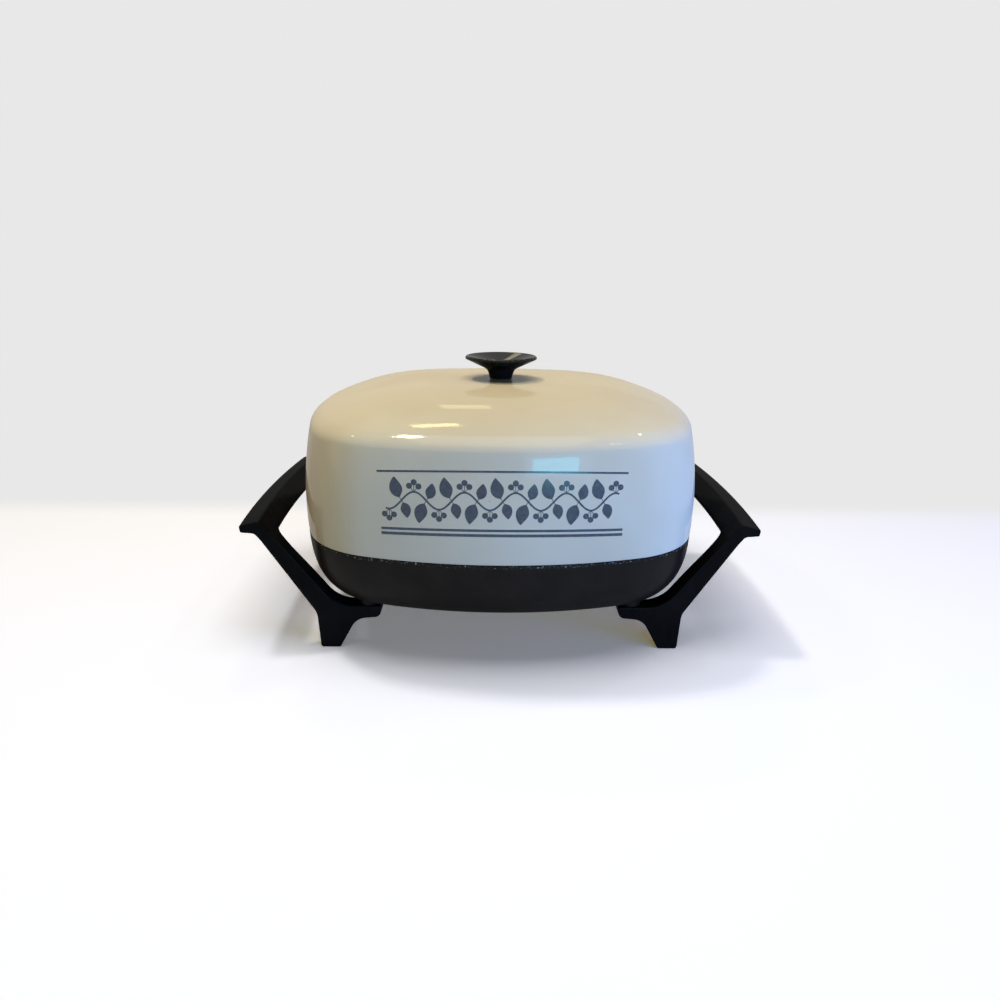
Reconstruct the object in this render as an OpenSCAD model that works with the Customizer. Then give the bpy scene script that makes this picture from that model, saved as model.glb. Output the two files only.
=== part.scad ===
// Electric skillet: a cast pan carried on two moulded handles whose arms run on
// down into the feet, under a tall lift-off lid with a trumpet knob.
// Millimetres, +Z up. The origin lies on the table, midway between the feet.
// +X runs from handle to handle, and -Y is the front.

/* [Plan outline] */
// Half the width across the bowed sides of the lid
plan_half = 156; // [140:1:190]
// Radius of the bow of each side
side_r = 300; // [260:5:400]
// Radius of the corners
corner_r = 72; // [60:1:84]
// Facets along each bowed side
side_steps = 10; // [6:1:12]
// Facets round each corner
corner_steps = 10; // [6:1:12]

/* [Pan] */
// Height of the pan's underside above the table
underside_z = 40; // [34:1:48]
// Height of the seat that the lid stands on
seat_z = 86.2; // [78:0.1:104]
// Distance from the widest line in to the flat underside
bottom_inset = 35; // [28:1:42]
// Step from the widest line in to the top of the outer wall
wall_inset = 1; // [0.5:0.1:2]
// Fullness of the wall's curve, 2 for a true ellipse
wall_fullness = 2.2; // [1.8:0.05:2.6]
// Thickness of the cooking floor
floor_t = 5; // [4:0.5:7]
// Width of the step that the lid's edge stands on
seat_w = 3; // [2.4:0.1:4]
// Thickness of the rim that stands up inside the lid
rim_t = 3; // [2.4:0.1:4]
// Height of that rim above the seat
rim_h = 9.8; // [6:0.2:14]

/* [Lid] */
// Height of the lid's lower edge above the seat
seat_gap = 0.3; // [0.2:0.1:0.6]
// Height from the lid's lower edge to the crown
lid_h = 102.5; // [85:0.5:125]
// Height from the lower edge to the start of the shoulder
lid_wall_h = 69; // [58:1:84]
// Thickness of the lid's metal
lid_t = 1.6; // [1.2:0.1:2.4]
// How far the wall leans in by the shoulder
lid_draft = 4.5; // [2:0.5:8]
// Share of the wall's height at which the lid is widest
widest_at = 0.3; // [0.2:0.05:0.5]
// Radius of the shoulder
shoulder_r = 17; // [12:0.5:22]
// Angle through which the shoulder turns before the dome takes over
shoulder_turn = 68; // [60:1:76]
// Flatness of the dome, 2 for a plain bowl
dome_flatness = 3.8; // [2:0.1:4.5]
// Width of the folded hem at the lid's lower edge
hem_w = 2.6; // [2.2:0.1:3.4]

/* [Knob] */
// Radius of the knob's rim
knob_r = 29.1; // [24:0.1:34]
// Radius of the knob's foot
knob_foot_r = 9.2; // [8:0.1:12]
// Height of the knob
knob_h = 18; // [15:0.5:22]
// Depth of the dish in the knob's top
knob_dish = 4.2; // [2:0.1:5.5]
// Thickness of the fibre seat under the knob
knob_seat_t = 0.8; // [0.5:0.1:1.5]
// Radius of the knob's screw
knob_screw_r = 2; // [1.5:0.1:2.4]

/* [Handles] */
// Reach of the grip's lip beyond the lid, at mid span
lip_reach = 38.6; // [32:0.2:48]
// Reach of the grip's crest beyond the lid, at mid span
crest_reach = 24.4; // [20:0.2:30]
// Reach of the grip's inner edge beyond the lid, at mid span
inner_reach = 11.2; // [9:0.2:16]
// How far the grip bows outward between its arms
grip_bow = 4.9; // [2:0.1:9]
// Height of the crest above the lid's seat
crest_rise = 13.3; // [8:0.1:20]
// Drop from the crest to the lip
lip_drop = 3.6; // [2:0.1:6]
// Drop from the crest to the grip's inner edge
inner_drop = 14.8; // [12:0.1:17]
// Thickness of the lip
lip_t = 5; // [3:0.1:6]
// Thickness of each arm along the grip
arm_t = 16; // [12:0.5:20]
// Distance from the widest line in to each handle screw, across the handle
screw_inset_x = 57.5; // [52:0.5:64]
// Distance from the widest line in to each handle screw, along the handle
screw_inset_y = 59; // [54:0.5:66]
// Length of the tab on the inner side of the screw
tab_end = 9.9; // [8:0.1:12]
// Thickness of the tab at the screw
tab_t = 9.8; // [8:0.1:11]
// Width of each foot on the table
foot_w = 14.5; // [11:0.5:17]
// Distance from the screw out to the middle of the foot
foot_reach = 29.1; // [25:0.1:33]

/* [Heating element] */
// Radius of the element's sheath
sheath_r = 3.6; // [3:0.1:4.2]
// Half the width of the element's loop
loop_half = 74; // [62:1:80]
// Radius of the loop's corners
loop_corner_r = 34; // [26:1:44]
// Radius of the turn out to each lead
lead_turn_r = 12; // [11:0.5:16]
// Height of the element's axis above the table
element_z = 34; // [32:0.5:36]

/* [Terminals] */
// Distance between the two terminal pins
pin_pitch = 20.6; // [19:0.2:24]
// Radius of each terminal pin
pin_r = 2.38; // [2:0.02:2.6]
// Length of each terminal pin beyond the terminal block
pin_len = 26; // [22:0.5:28]
// Radius of the bore for the heat control's probe
probe_bore_r = 3.3; // [3:0.1:3.6]
// Wall of the probe tube
probe_wall = 1.2; // [0.8:0.1:1.4]
// Length of the probe tube
probe_len = 64; // [50:1:68]
// Distance from the widest line in to the terminal block's face
block_inset = 40; // [37:0.5:43]
// Thickness of the guard's metal
guard_t = 1.2; // [1:0.1:1.6]
// Half the width of the guard
guard_half = 27; // [26:0.5:31]
// Length of the guard's cheeks
guard_len = 32; // [30:0.5:36]
// Air gap between each insulator and the probe tube
insulator_gap = 1.4; // [0.8:0.1:2]

/* [Hidden] */

// Clearance round a shaft in its hole, and between a curved piece and its bed
hole_fit = 0.15;
bed_fit = 0.1;
// Overlap that makes one piece out of two shapes
lap = 1;
round_fn = 48;
arc_steps = 6;

phenolic = [0.13, 0.12, 0.11];
coating = [0.14, 0.13, 0.12];
enamel = [0.88, 0.86, 0.80];
steel = [0.72, 0.72, 0.70];
brass = [0.78, 0.62, 0.32];
ceramic = [0.92, 0.90, 0.84];
fibre = [0.42, 0.28, 0.20];

// ---- The bowed square ----
// The side arcs and the corner arcs keep their centres at every inset, so a
// smaller outline is a true offset of a larger one.
side_centre = side_r - plan_half;
corner_centre = (-2 * side_centre + sqrt(4 * side_centre ^ 2
    - 8 * (side_centre ^ 2 - (side_r - corner_r) ^ 2))) / 4;
side_turn = atan2(corner_centre, corner_centre + side_centre);

function turned(p, a) = [p.x * cos(a) - p.y * sin(a), p.x * sin(a) + p.y * cos(a)];

// One front side and the corner that follows it
function quarter(inset) = concat(
    [for (i = [0 : side_steps - 1])
        let (t = side_turn * (2 * i / side_steps - 1), r = side_r - inset)
        [r * sin(t), side_centre - r * cos(t)]],
    [for (i = [0 : corner_steps - 1])
        let (t = side_turn + (90 - 2 * side_turn) * i / corner_steps, r = corner_r - inset)
        [corner_centre + r * sin(t), -corner_centre - r * cos(t)]]);

function outline(inset) = [for (a = [0 : 90 : 270]) for (p = quarter(inset)) turned(p, a)];

// A closed shell through rings, each [inset, height, scale]. The first ring is
// closed with a cap that faces down, the last with one that faces up.
module lofted(rings) {
    count = 4 * (side_steps + corner_steps);
    last = len(rings) - 1;
    points = [for (ring = rings) for (p = outline(ring[0])) [p.x * ring[2], p.y * ring[2], ring[1]]];
    sides = [for (i = [0 : last - 1]) for (j = [0 : count - 1])
        let (k = (j + 1) % count)
        [i * count + j, (i + 1) * count + j, (i + 1) * count + k, i * count + k]];
    caps = [[for (j = [0 : count - 1]) j], [for (j = [count - 1 : -1 : 0]) last * count + j]];
    polyhedron(points, concat(sides, caps), convexity = 6);
}

// ---- Pan profile ----
wall_drop = seat_z - underside_z;
wall_run = bottom_inset - wall_inset;
inner_top_inset = wall_inset + seat_w + rim_t;
inner_bottom_inset = bottom_inset + 3;
inner_drop_h = wall_drop - floor_t;
rim_top_z = seat_z + rim_h;
wall_steps = 9;
rim_edge = 1.1;

// Where the wall lies when it has turned through t, from 0 at the top to 90
function wall_ring(t, inner) =
    let (power = 2 / wall_fullness,
         far = inner ? inner_bottom_inset : bottom_inset,
         run = inner ? inner_bottom_inset - inner_top_inset : wall_run,
         drop = inner ? inner_drop_h : wall_drop)
    [far - run * cos(t) ^ power, seat_z - drop * sin(t) ^ power, 1];

// Height of the pan's outside at a distance in from the widest line
function wall_z(inset) =
    let (share = max(0, min(1, (bottom_inset - inset) / wall_run)))
    seat_z - wall_drop * (1 - share ^ wall_fullness) ^ (1 / wall_fullness);

pan_rings = concat(
    [for (i = [wall_steps : -1 : 0]) wall_ring(90 * i / wall_steps, false)],
    [[wall_inset + seat_w, seat_z, 1],
     [wall_inset + seat_w, rim_top_z - rim_edge, 1],
     [wall_inset + seat_w + rim_edge, rim_top_z, 1],
     [inner_top_inset - rim_edge, rim_top_z, 1],
     [inner_top_inset, rim_top_z - rim_edge, 1]],
    [for (i = [0 : wall_steps - 1]) wall_ring(90 * i / (wall_steps - 1), true)]);

// ---- Lid profile ----
lid_z = seat_z + seat_gap;
shoulder_z = lid_z + lid_wall_h;
crown_z = lid_z + lid_h;
dome_z = shoulder_z + shoulder_r * sin(shoulder_turn);
dome_inset = lid_draft + shoulder_r * (1 - cos(shoulder_turn));
// Share of the dome's width that stays flat under the knob
flat_share = 0.1;
hem_z = lid_z + 3.2;
hem_edge = 0.5;

function lean(share) = lid_draft * ((share - widest_at) / (1 - widest_at)) ^ 2;
function lid_wall_ring(share, t) = [lean(share) + t, lid_z + lid_wall_h * share, 1];
function shoulder_ring(turn, t) =
    [lid_draft + shoulder_r - (shoulder_r - t) * cos(turn),
     shoulder_z + (shoulder_r - t) * sin(turn), 1];
function dome_ring(share, t) =
    [dome_inset + t * cos(shoulder_turn),
     dome_z - t + (crown_z - dome_z) * (1 - share ^ dome_flatness), share];

lid_rings = concat(
    [for (share = [flat_share, 0.3, 0.5, 0.65, 0.8, 0.9]) dome_ring(share, lid_t)],
    [for (i = [4 : -1 : 0]) shoulder_ring(shoulder_turn * i / 4, lid_t)],
    [for (share = [0.8, 0.6, 0.4, 0.2, 0.07]) lid_wall_ring(share, lid_t)],
    [[hem_w, hem_z, 1], [hem_w, lid_z + hem_edge, 1], [hem_w - hem_edge, lid_z, 1],
     [lean(0) + hem_edge, lid_z, 1]],
    [for (share = [0.01, 0.15, 0.3, 0.45, 0.6, 0.8]) lid_wall_ring(share, 0)],
    [for (i = [0 : 6]) shoulder_ring(shoulder_turn * i / 6, 0)],
    [for (share = [0.94, 0.87, 0.79, 0.7, 0.6, 0.47, 0.32, flat_share]) dome_ring(share, 0)]);

// ---- Rounded outlines ----
// A polygon's corners [x, y, radius] turned into arcs
function arc_corner(a, b, c) =
    let (u = unit([a.x - b.x, a.y - b.y]), v = unit([c.x - b.x, c.y - b.y]),
         half = acos(max(-1, min(1, u * v))) / 2,
         middle = unit(u + v),
         centre = [b.x, b.y] + middle * b[2] / sin(half),
         start = [b.x, b.y] + u * b[2] / tan(half) - centre,
         turn = 180 - 2 * half,
         way = cross(start, [b.x, b.y] + v * b[2] / tan(half) - centre) > 0 ? 1 : -1)
    b[2] == 0 ? [[b.x, b.y]]
    : [for (i = [0 : arc_steps]) centre + turned(start, way * turn * i / arc_steps)];
function unit(v) = v / norm(v);
function rounded(corners) =
    let (n = len(corners))
    [for (i = [0 : n - 1]) each arc_corner(corners[(i + n - 1) % n], corners[i], corners[(i + 1) % n])];

// ---- Handle geometry, in the plane of an arm ----
arm_y = plan_half - screw_inset_y;
arm_face_y = arm_y + arm_t / 2;
screw_x = plan_half - screw_inset_x;
crest_z = seat_z + crest_rise;
lip_z = crest_z - lip_drop;
inner_z = crest_z - inner_drop;
tab_drop = 6;
tab_z = underside_z - tab_drop;
foot_x = screw_x + foot_reach;
// The grip is a slice of a large ring, whose centre lies beyond the other side
grip_r = (arm_face_y ^ 2 + grip_bow ^ 2) / (2 * grip_bow);
grip_centre = plan_half + lip_reach - grip_r;
// Where a point of the grip's section lies in the plane of the arm's face
function at_face(reach) =
    let (r = plan_half + reach - grip_centre) grip_centre + sqrt(r ^ 2 - arm_face_y ^ 2);
throat_reach = lip_reach - 10.9;
heel_reach = inner_reach + 11.8;
foot_edge = 2;
arm_top_x = at_face(inner_reach) + 3.4;

// The grip's section, by reach beyond the lid and height
grip_section = rounded([
    [lip_reach, lip_z, 1.4],
    [crest_reach, crest_z, 1.8],
    [inner_reach, inner_z, 2.6],
    [heel_reach, inner_z - 0.4, 3],
    [throat_reach, lip_z - lip_t - 0.8, 4],
    [lip_reach - 0.8, lip_z - lip_t, 1.4]]);

// The arm's outline, from its foot up into the grip
arm_outline = rounded([
    [foot_x + foot_w / 2, 0, foot_edge],
    [foot_x + foot_w / 2 + 1.9, tab_z - 6, 14],
    [at_face(heel_reach) + 0.4, inner_z + 0.6, 0],
    [at_face(heel_reach) - 1, inner_z + 6, 0],
    [arm_top_x, inner_z + 3, 0],
    [at_face(inner_reach) + 0.2, inner_z + 0.6, 0],
    [foot_x - 5.5, tab_z, 26],
    [screw_x - tab_end, tab_z, 1],
    [screw_x - tab_end + 0.8, tab_z - tab_t + 0.8, 5],
    [foot_x - 20, tab_z - tab_t - 0.8, 13],
    [foot_x - foot_w / 2, 0, foot_edge]]);

// ---- Handle fasteners ----
handle_screw_r = 2;
handle_screw_depth = 8.5;
washer_t = 1;
washer_r = 4.8;
head_r = 4;
head_h = 2.6;
tab_web = 5;
washer_z = tab_z - tab_web - washer_t;
pan_boss_r = 7.5;

// ---- Terminals ----
block_x = plan_half - block_inset;
block_back_x = block_x - 24;
block_half = 25;
block_top_z = underside_z + 2;
block_low_z = element_z - 8;
sheath_end_x = block_x + guard_t + 0.6;
probe_r = probe_bore_r + probe_wall;
insulator_len = 5;
insulator_r = pin_pitch / 2 - probe_r - insulator_gap;
pin_shank_r = pin_r - 0.4;
guard_low_z = block_low_z - 4;
guard_screw_y = 19.5;
guard_screw_z = block_low_z + 4.5;
guard_screw_r = 1.5;
probe_end_x = block_x + guard_t + 2;
rib_half = 6.5;

// ---- Helpers ----
module along_x(x0, x1, r, y = 0, z = 0) {
    translate([x0, y, z]) rotate([0, 90, 0]) cylinder(h = x1 - x0, r = r, $fn = round_fn);
}

module pan_corners() {
    for (sx = [-1, 1], sy = [-1, 1]) translate([sx * screw_x, sy * arm_y, 0]) children();
}

module handle_corners() {
    for (sy = [-1, 1]) translate([screw_x, sy * arm_y, 0]) children();
}

// Quarter of a ring of round section, from the +X axis round to the +Y axis
module bend(radius, r) {
    rotate_extrude(angle = 90, $fn = round_fn) translate([radius, 0]) circle(r, $fn = 24);
}

// The element's route at one radius: a rounded square that ends in two leads
module element_run(r, end_x) {
    straight = loop_half - loop_corner_r;
    turn_y = pin_pitch / 2 + lead_turn_r;
    translate([0, 0, element_z]) {
        for (sy = [-1, 1]) mirror([0, sy > 0 ? 0 : 1, 0]) {
            along_x(loop_half + lead_turn_r, end_x, r, pin_pitch / 2);
            translate([loop_half + lead_turn_r, turn_y, 0]) rotate([0, 0, 180]) bend(lead_turn_r, r);
            translate([loop_half, turn_y, 0]) rotate([-90, 0, 0])
                cylinder(h = straight - turn_y, r = r, $fn = 24);
            translate([straight, straight, 0]) bend(loop_corner_r, r);
            translate([-straight, straight, 0]) rotate([0, 0, 90]) bend(loop_corner_r, r);
            along_x(-straight, straight, r, loop_half);
        }
        translate([-loop_half, -straight, 0]) rotate([-90, 0, 0])
            cylinder(h = 2 * straight, r = r, $fn = 24);
    }
}

module rounded_square(half, r) {
    polygon(rounded([[half, half, r], [-half, half, r], [-half, -half, r], [half, -half, r]]));
}

// ---- Pan ----
module pan() {
    color(coating) difference() {
        union() {
            lofted(pan_rings);
            // Bosses that the handles are screwed to
            pan_corners() translate([0, 0, tab_z])
                cylinder(h = tab_drop + floor_t - lap, r1 = pan_boss_r, r2 = pan_boss_r + 1, $fn = round_fn);
            // Rib over the element
            translate([0, 0, element_z]) linear_extrude(underside_z - element_z + lap) difference() {
                rounded_square(loop_half + rib_half, loop_corner_r + rib_half);
                rounded_square(loop_half - rib_half, loop_corner_r - rib_half);
            }
            // Rib over the probe tube
            translate([block_back_x - 36, -rib_half, element_z])
                cube([60, 2 * rib_half, underside_z - element_z + lap]);
            // Terminal block
            translate([block_back_x, -block_half, block_low_z])
                cube([block_x - block_back_x, 2 * block_half, block_top_z - block_low_z]);
        }
        pan_corners() translate([0, 0, tab_z - lap])
            cylinder(h = handle_screw_depth + lap, r = handle_screw_r + hole_fit, $fn = round_fn);
        element_run(sheath_r + bed_fit, block_x + lap);
        along_x(probe_end_x - probe_len - 1, block_x + lap, probe_r + bed_fit, 0, element_z);
        for (sy = [-1, 1]) along_x(block_x - 12, block_x + lap, guard_screw_r + hole_fit,
            sy * guard_screw_y, guard_screw_z);
    }
}

// ---- Heating element ----
module heating_element() {
    color(steel) element_run(sheath_r, sheath_end_x);
}

module terminal_pin() {
    pin_end_x = block_x + pin_len;
    along_x(sheath_end_x, sheath_end_x + insulator_len, pin_shank_r, 0, element_z);
    along_x(sheath_end_x + insulator_len, pin_end_x - pin_r, pin_r, 0, element_z);
    translate([pin_end_x - pin_r, 0, element_z]) sphere(pin_r, $fn = 32);
}

module front_terminal_pin() {
    color(steel) translate([0, -pin_pitch / 2, 0]) terminal_pin();
}

module rear_terminal_pin() {
    color(steel) translate([0, pin_pitch / 2, 0]) terminal_pin();
}

module pin_insulator() {
    translate([sheath_end_x, 0, element_z]) rotate([0, 90, 0]) difference() {
        rotate_extrude($fn = round_fn) polygon([[0, 0], [insulator_r, 0], [insulator_r, insulator_len - 1],
            [insulator_r - 1, insulator_len], [0, insulator_len]]);
        translate([0, 0, -lap]) cylinder(h = insulator_len + 2 * lap, r = pin_shank_r + bed_fit, $fn = round_fn);
    }
}

module front_pin_insulator() {
    color(ceramic) translate([0, -pin_pitch / 2, 0]) pin_insulator();
}

module rear_pin_insulator() {
    color(ceramic) translate([0, pin_pitch / 2, 0]) pin_insulator();
}

// ---- Probe tube ----
module probe_tube() {
    color(steel) difference() {
        along_x(probe_end_x - probe_len, probe_end_x, probe_r, 0, element_z);
        along_x(probe_end_x - probe_len + probe_wall, probe_end_x + lap, probe_bore_r, 0, element_z);
    }
}

// ---- Terminal guard ----
// The cheeks' upper edge stays this far under the pan's wall
guard_clear = 1;
module cheek_outline() {
    reach = block_x + guard_len;
    top = [for (i = [0 : 6]) let (x = block_x + 20 * i / 6)
        [x, wall_z(plan_half - x) - guard_clear - 1]];
    polygon(concat([[block_x, guard_low_z], [reach - 4, guard_low_z], [reach, guard_low_z + 4],
        [reach, top[6].y + 2], [reach - 4, top[6].y + 4]], [for (i = [6 : -1 : 0]) top[i]]));
}

module terminal_guard() {
    plate_top = wall_z(plan_half - block_x) - guard_clear - 1;
    color(steel) difference() {
        union() {
            // Cheeks
            for (sy = [-1, 1]) translate([0, sy * (guard_half - guard_t / 2) + guard_t / 2, 0])
                rotate([90, 0, 0]) linear_extrude(guard_t) cheek_outline();
            // Back plate and floor
            translate([block_x, -guard_half, guard_low_z])
                cube([guard_t, 2 * guard_half, plate_top - guard_low_z]);
            translate([block_x, -guard_half, guard_low_z])
                cube([guard_len - 4, 2 * guard_half, guard_t]);
        }
        for (sy = [-1, 1]) {
            along_x(block_x - lap, block_x + guard_t + lap, sheath_r + 2 * hole_fit,
                sy * pin_pitch / 2, element_z);
            along_x(block_x - lap, block_x + guard_t + lap, guard_screw_r + hole_fit,
                sy * guard_screw_y, guard_screw_z);
        }
        along_x(block_x - lap, block_x + guard_t + lap, probe_r + 2 * hole_fit, 0, element_z);
    }
}

module guard_screws() {
    color(steel) for (sy = [-1, 1]) translate([block_x + guard_t, sy * guard_screw_y, guard_screw_z])
        rotate([0, 90, 0]) difference() {
            union() {
                translate([0, 0, -10]) cylinder(h = 10 + lap, r = guard_screw_r, $fn = round_fn);
                cylinder(h = 2, r1 = 3, r2 = 2.6, $fn = round_fn);
            }
            translate([-4, -0.4, 1.2]) cube([8, 0.8, 2]);
        }
}

// ---- Handles ----
module grip() {
    half_angle = asin(arm_face_y / grip_r) + 0.6;
    intersection() {
        translate([grip_centre, 0, 0])
            rotate([0, 0, -half_angle]) rotate_extrude(angle = 2 * half_angle, $fn = 360)
                polygon([for (p = grip_section) [plan_half + p.x - grip_centre, p.y]]);
        translate([0, -arm_face_y, 0]) cube([2 * plan_half, 2 * arm_face_y, 2 * crest_z]);
    }
}

// Web that rounds the corner between an arm and the underside of the grip
module throat_fillet() {
    r = 10;
    inner = arm_face_y - arm_t;
    intersection() {
        rotate([90, 0, 90]) linear_extrude(2 * plan_half) difference() {
            translate([inner - r, inner_z - r]) square([r + lap, r + lap + 3]);
            translate([inner - r, inner_z - r]) circle(r, $fn = round_fn);
        }
        translate([0, arm_face_y, 0]) rotate([90, 0, 0]) linear_extrude(arm_t + r) polygon(arm_outline);
    }
}

module handle() {
    color(phenolic) difference() {
        union() {
            grip();
            for (sy = [-1, 1]) {
                translate([0, sy * arm_y + arm_t / 2, 0]) rotate([90, 0, 0])
                    linear_extrude(arm_t) polygon(arm_outline);
                mirror([0, sy > 0 ? 0 : 1, 0]) throat_fillet();
            }
        }
        handle_corners() {
            translate([0, 0, tab_z - 2 * tab_t])
                cylinder(h = 2 * tab_t - tab_web, r = washer_r + 2 * hole_fit, $fn = round_fn);
            cylinder(h = tab_z + lap, r = handle_screw_r + hole_fit, $fn = round_fn);
        }
    }
}

module left_handle() {
    mirror([1, 0, 0]) handle();
}

module right_handle() {
    handle();
}

module handle_screws() {
    color(steel) handle_corners() translate([0, 0, washer_z]) difference() {
        union() {
            cylinder(h = washer_t + tab_web + handle_screw_depth - 1, r = handle_screw_r, $fn = round_fn);
            translate([0, 0, -head_h]) cylinder(h = head_h, r1 = head_r - 0.8, r2 = head_r, $fn = round_fn);
        }
        translate([-5, -0.5, -head_h - 1]) cube([10, 1, 2.1]);
    }
}

module left_handle_screws() {
    mirror([1, 0, 0]) handle_screws();
}

module right_handle_screws() {
    handle_screws();
}

module handle_washers() {
    color(steel) handle_corners() translate([0, 0, washer_z]) difference() {
        cylinder(h = washer_t, r = washer_r, $fn = round_fn);
        translate([0, 0, -lap]) cylinder(h = washer_t + 2 * lap, r = handle_screw_r + hole_fit, $fn = round_fn);
    }
}

module left_handle_washers() {
    mirror([1, 0, 0]) handle_washers();
}

module right_handle_washers() {
    handle_washers();
}

// ---- Lid ----
knob_z = crown_z + knob_seat_t;
insert_r = 3.6;
insert_h = 9;
insert_recess = 0.4;
screw_reach = 7;
lid_washer_r = 7.5;
lid_washer_t = 1;
flat_z = dome_z + (crown_z - dome_z) * (1 - flat_share ^ dome_flatness);

module lid_shell() {
    color(enamel) difference() {
        lofted(lid_rings);
        translate([0, 0, crown_z - 5]) cylinder(h = 10, r = knob_screw_r + hole_fit, $fn = round_fn);
    }
}

// ---- Knob ----
module knob_seat() {
    color(fibre) translate([0, 0, flat_z]) difference() {
        cylinder(h = knob_z - flat_z, r = knob_foot_r - 0.6, $fn = round_fn);
        translate([0, 0, -lap]) cylinder(h = knob_seat_t + 2 * lap, r = knob_screw_r + hole_fit, $fn = round_fn);
    }
}

// The neck leans out slowly, then the outside flares straight to the rim's edge
neck_share = 0.42;
neck_spread = 2.5;
rim_band = 4;
function neck(share) = [knob_foot_r + neck_spread * share ^ 1.6, knob_h * neck_share * share];
module knob() {
    outside = concat([for (i = [0 : 5]) neck(i / 5)],
        [[knob_r - 1, knob_h - rim_band], [knob_r - 0.3, knob_h - 0.8 * rim_band],
         [knob_r, knob_h - 0.6 * rim_band], [knob_r, knob_h - 1], [knob_r - 0.3, knob_h - 0.35],
         [knob_r - 0.9, knob_h]]);
    steps = 10;
    dish = [for (i = [0 : steps]) let (share = 1 - i / steps)
        [(knob_r - 2.1) * share, knob_h - knob_dish * (1 - share ^ 2.2)]];
    color(phenolic) translate([0, 0, knob_z]) difference() {
        rotate_extrude($fn = 96) polygon(concat([[0, 0]], outside, dish));
        translate([0, 0, -lap]) cylinder(h = insert_h + insert_recess + lap, r = insert_r + bed_fit, $fn = round_fn);
    }
}

module knob_insert() {
    color(brass) translate([0, 0, knob_z + insert_recess]) difference() {
        cylinder(h = insert_h, r = insert_r, $fn = round_fn);
        translate([0, 0, -lap]) cylinder(h = screw_reach + 2 * lap, r = knob_screw_r + hole_fit, $fn = round_fn);
    }
}

module knob_screw() {
    head_z = flat_z - lid_t - lid_washer_t;
    color(steel) translate([0, 0, head_z]) difference() {
        union() {
            cylinder(h = knob_z + screw_reach - head_z, r = knob_screw_r, $fn = round_fn);
            translate([0, 0, -2.4]) cylinder(h = 2.4, r1 = 3.2, r2 = 4, $fn = round_fn);
        }
        translate([-5, -0.5, -3.4]) cube([10, 1, 2.1]);
    }
}

module knob_washer() {
    color(steel) translate([0, 0, flat_z - lid_t - lid_washer_t]) difference() {
        cylinder(h = lid_washer_t, r = lid_washer_r, $fn = round_fn);
        translate([0, 0, -lap]) cylinder(h = lid_washer_t + 2 * lap, r = knob_screw_r + hole_fit, $fn = round_fn);
    }
}

pan();
heating_element();
front_terminal_pin();
rear_terminal_pin();
front_pin_insulator();
rear_pin_insulator();
probe_tube();
terminal_guard();
guard_screws();
left_handle();
right_handle();
left_handle_screws();
right_handle_screws();
left_handle_washers();
right_handle_washers();
lid_shell();
knob();
knob_insert();
knob_screw();
knob_washer();
knob_seat();
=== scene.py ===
"""Electric skillet: the visual model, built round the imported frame.

Every shape is worked out in millimetres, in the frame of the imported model: the
origin is on the table between the feet, +X runs from handle to handle, -Y is
the printed front and +Z is up. Meshes are scaled to metres when they are made.
"""

import logging
import math
from dataclasses import dataclass, field
from enum import Enum
from itertools import accumulate
from typing import Iterable, Sequence

import bmesh
import bpy
from mathutils import Matrix, Vector


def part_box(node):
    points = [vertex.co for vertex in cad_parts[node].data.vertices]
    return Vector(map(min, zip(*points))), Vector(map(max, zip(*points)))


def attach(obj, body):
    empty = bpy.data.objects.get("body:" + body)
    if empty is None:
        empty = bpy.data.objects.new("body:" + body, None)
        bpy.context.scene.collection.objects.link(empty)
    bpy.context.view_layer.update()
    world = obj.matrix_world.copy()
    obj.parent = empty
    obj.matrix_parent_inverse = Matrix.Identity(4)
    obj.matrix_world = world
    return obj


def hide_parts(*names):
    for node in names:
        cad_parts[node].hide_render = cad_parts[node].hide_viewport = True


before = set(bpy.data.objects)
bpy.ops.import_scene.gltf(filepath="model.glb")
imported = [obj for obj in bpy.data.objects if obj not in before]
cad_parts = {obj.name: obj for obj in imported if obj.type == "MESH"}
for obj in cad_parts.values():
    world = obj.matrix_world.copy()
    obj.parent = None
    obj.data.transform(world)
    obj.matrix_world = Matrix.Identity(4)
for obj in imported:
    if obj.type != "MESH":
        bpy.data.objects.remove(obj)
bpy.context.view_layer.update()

LOG = logging.getLogger("skillet")
MM = 0.001
QUARTER = math.pi / 2
WELD_DISTANCE, SLIVER = 2e-6, 1e-6

Point2 = tuple[float, float]
Point3 = tuple[float, float, float]
Rgb = tuple[float, float, float]
Piece = bpy.types.Object
Material = bpy.types.Material
Socket = bpy.types.NodeSocket
Inputs = dict[str | int, object]


class Body(str, Enum):
    """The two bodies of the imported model."""

    BASE = "base"
    LID = "lid"


class Side(Enum):
    """Which end of the pan a handle is on, as the sign of its X."""

    LEFT = -1
    RIGHT = 1


def cad_box(node: str) -> tuple[Vector, Vector]:
    """Give the lowest and highest corner of a CAD node, in millimetres."""
    low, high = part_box(node)
    return low / MM, high / MM


def srgb(red: float, green: float, blue: float) -> Rgb:
    """Turn a colour written as 0 to 255 sRGB into linear values.

    Args:
        red: Red channel, 0 to 255.
        green: Green channel.
        blue: Blue channel.

    Returns:
        The linear colour.
    """
    def linear(value: float) -> float:
        """Turn one sRGB channel into a linear one."""
        share = value / 255
        return share / 12.92 if share <= 0.04045 else ((share + 0.055) / 1.055) ** 2.4

    return linear(red), linear(green), linear(blue)


# ---- Curves and outlines ----------------------------------------------------


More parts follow.
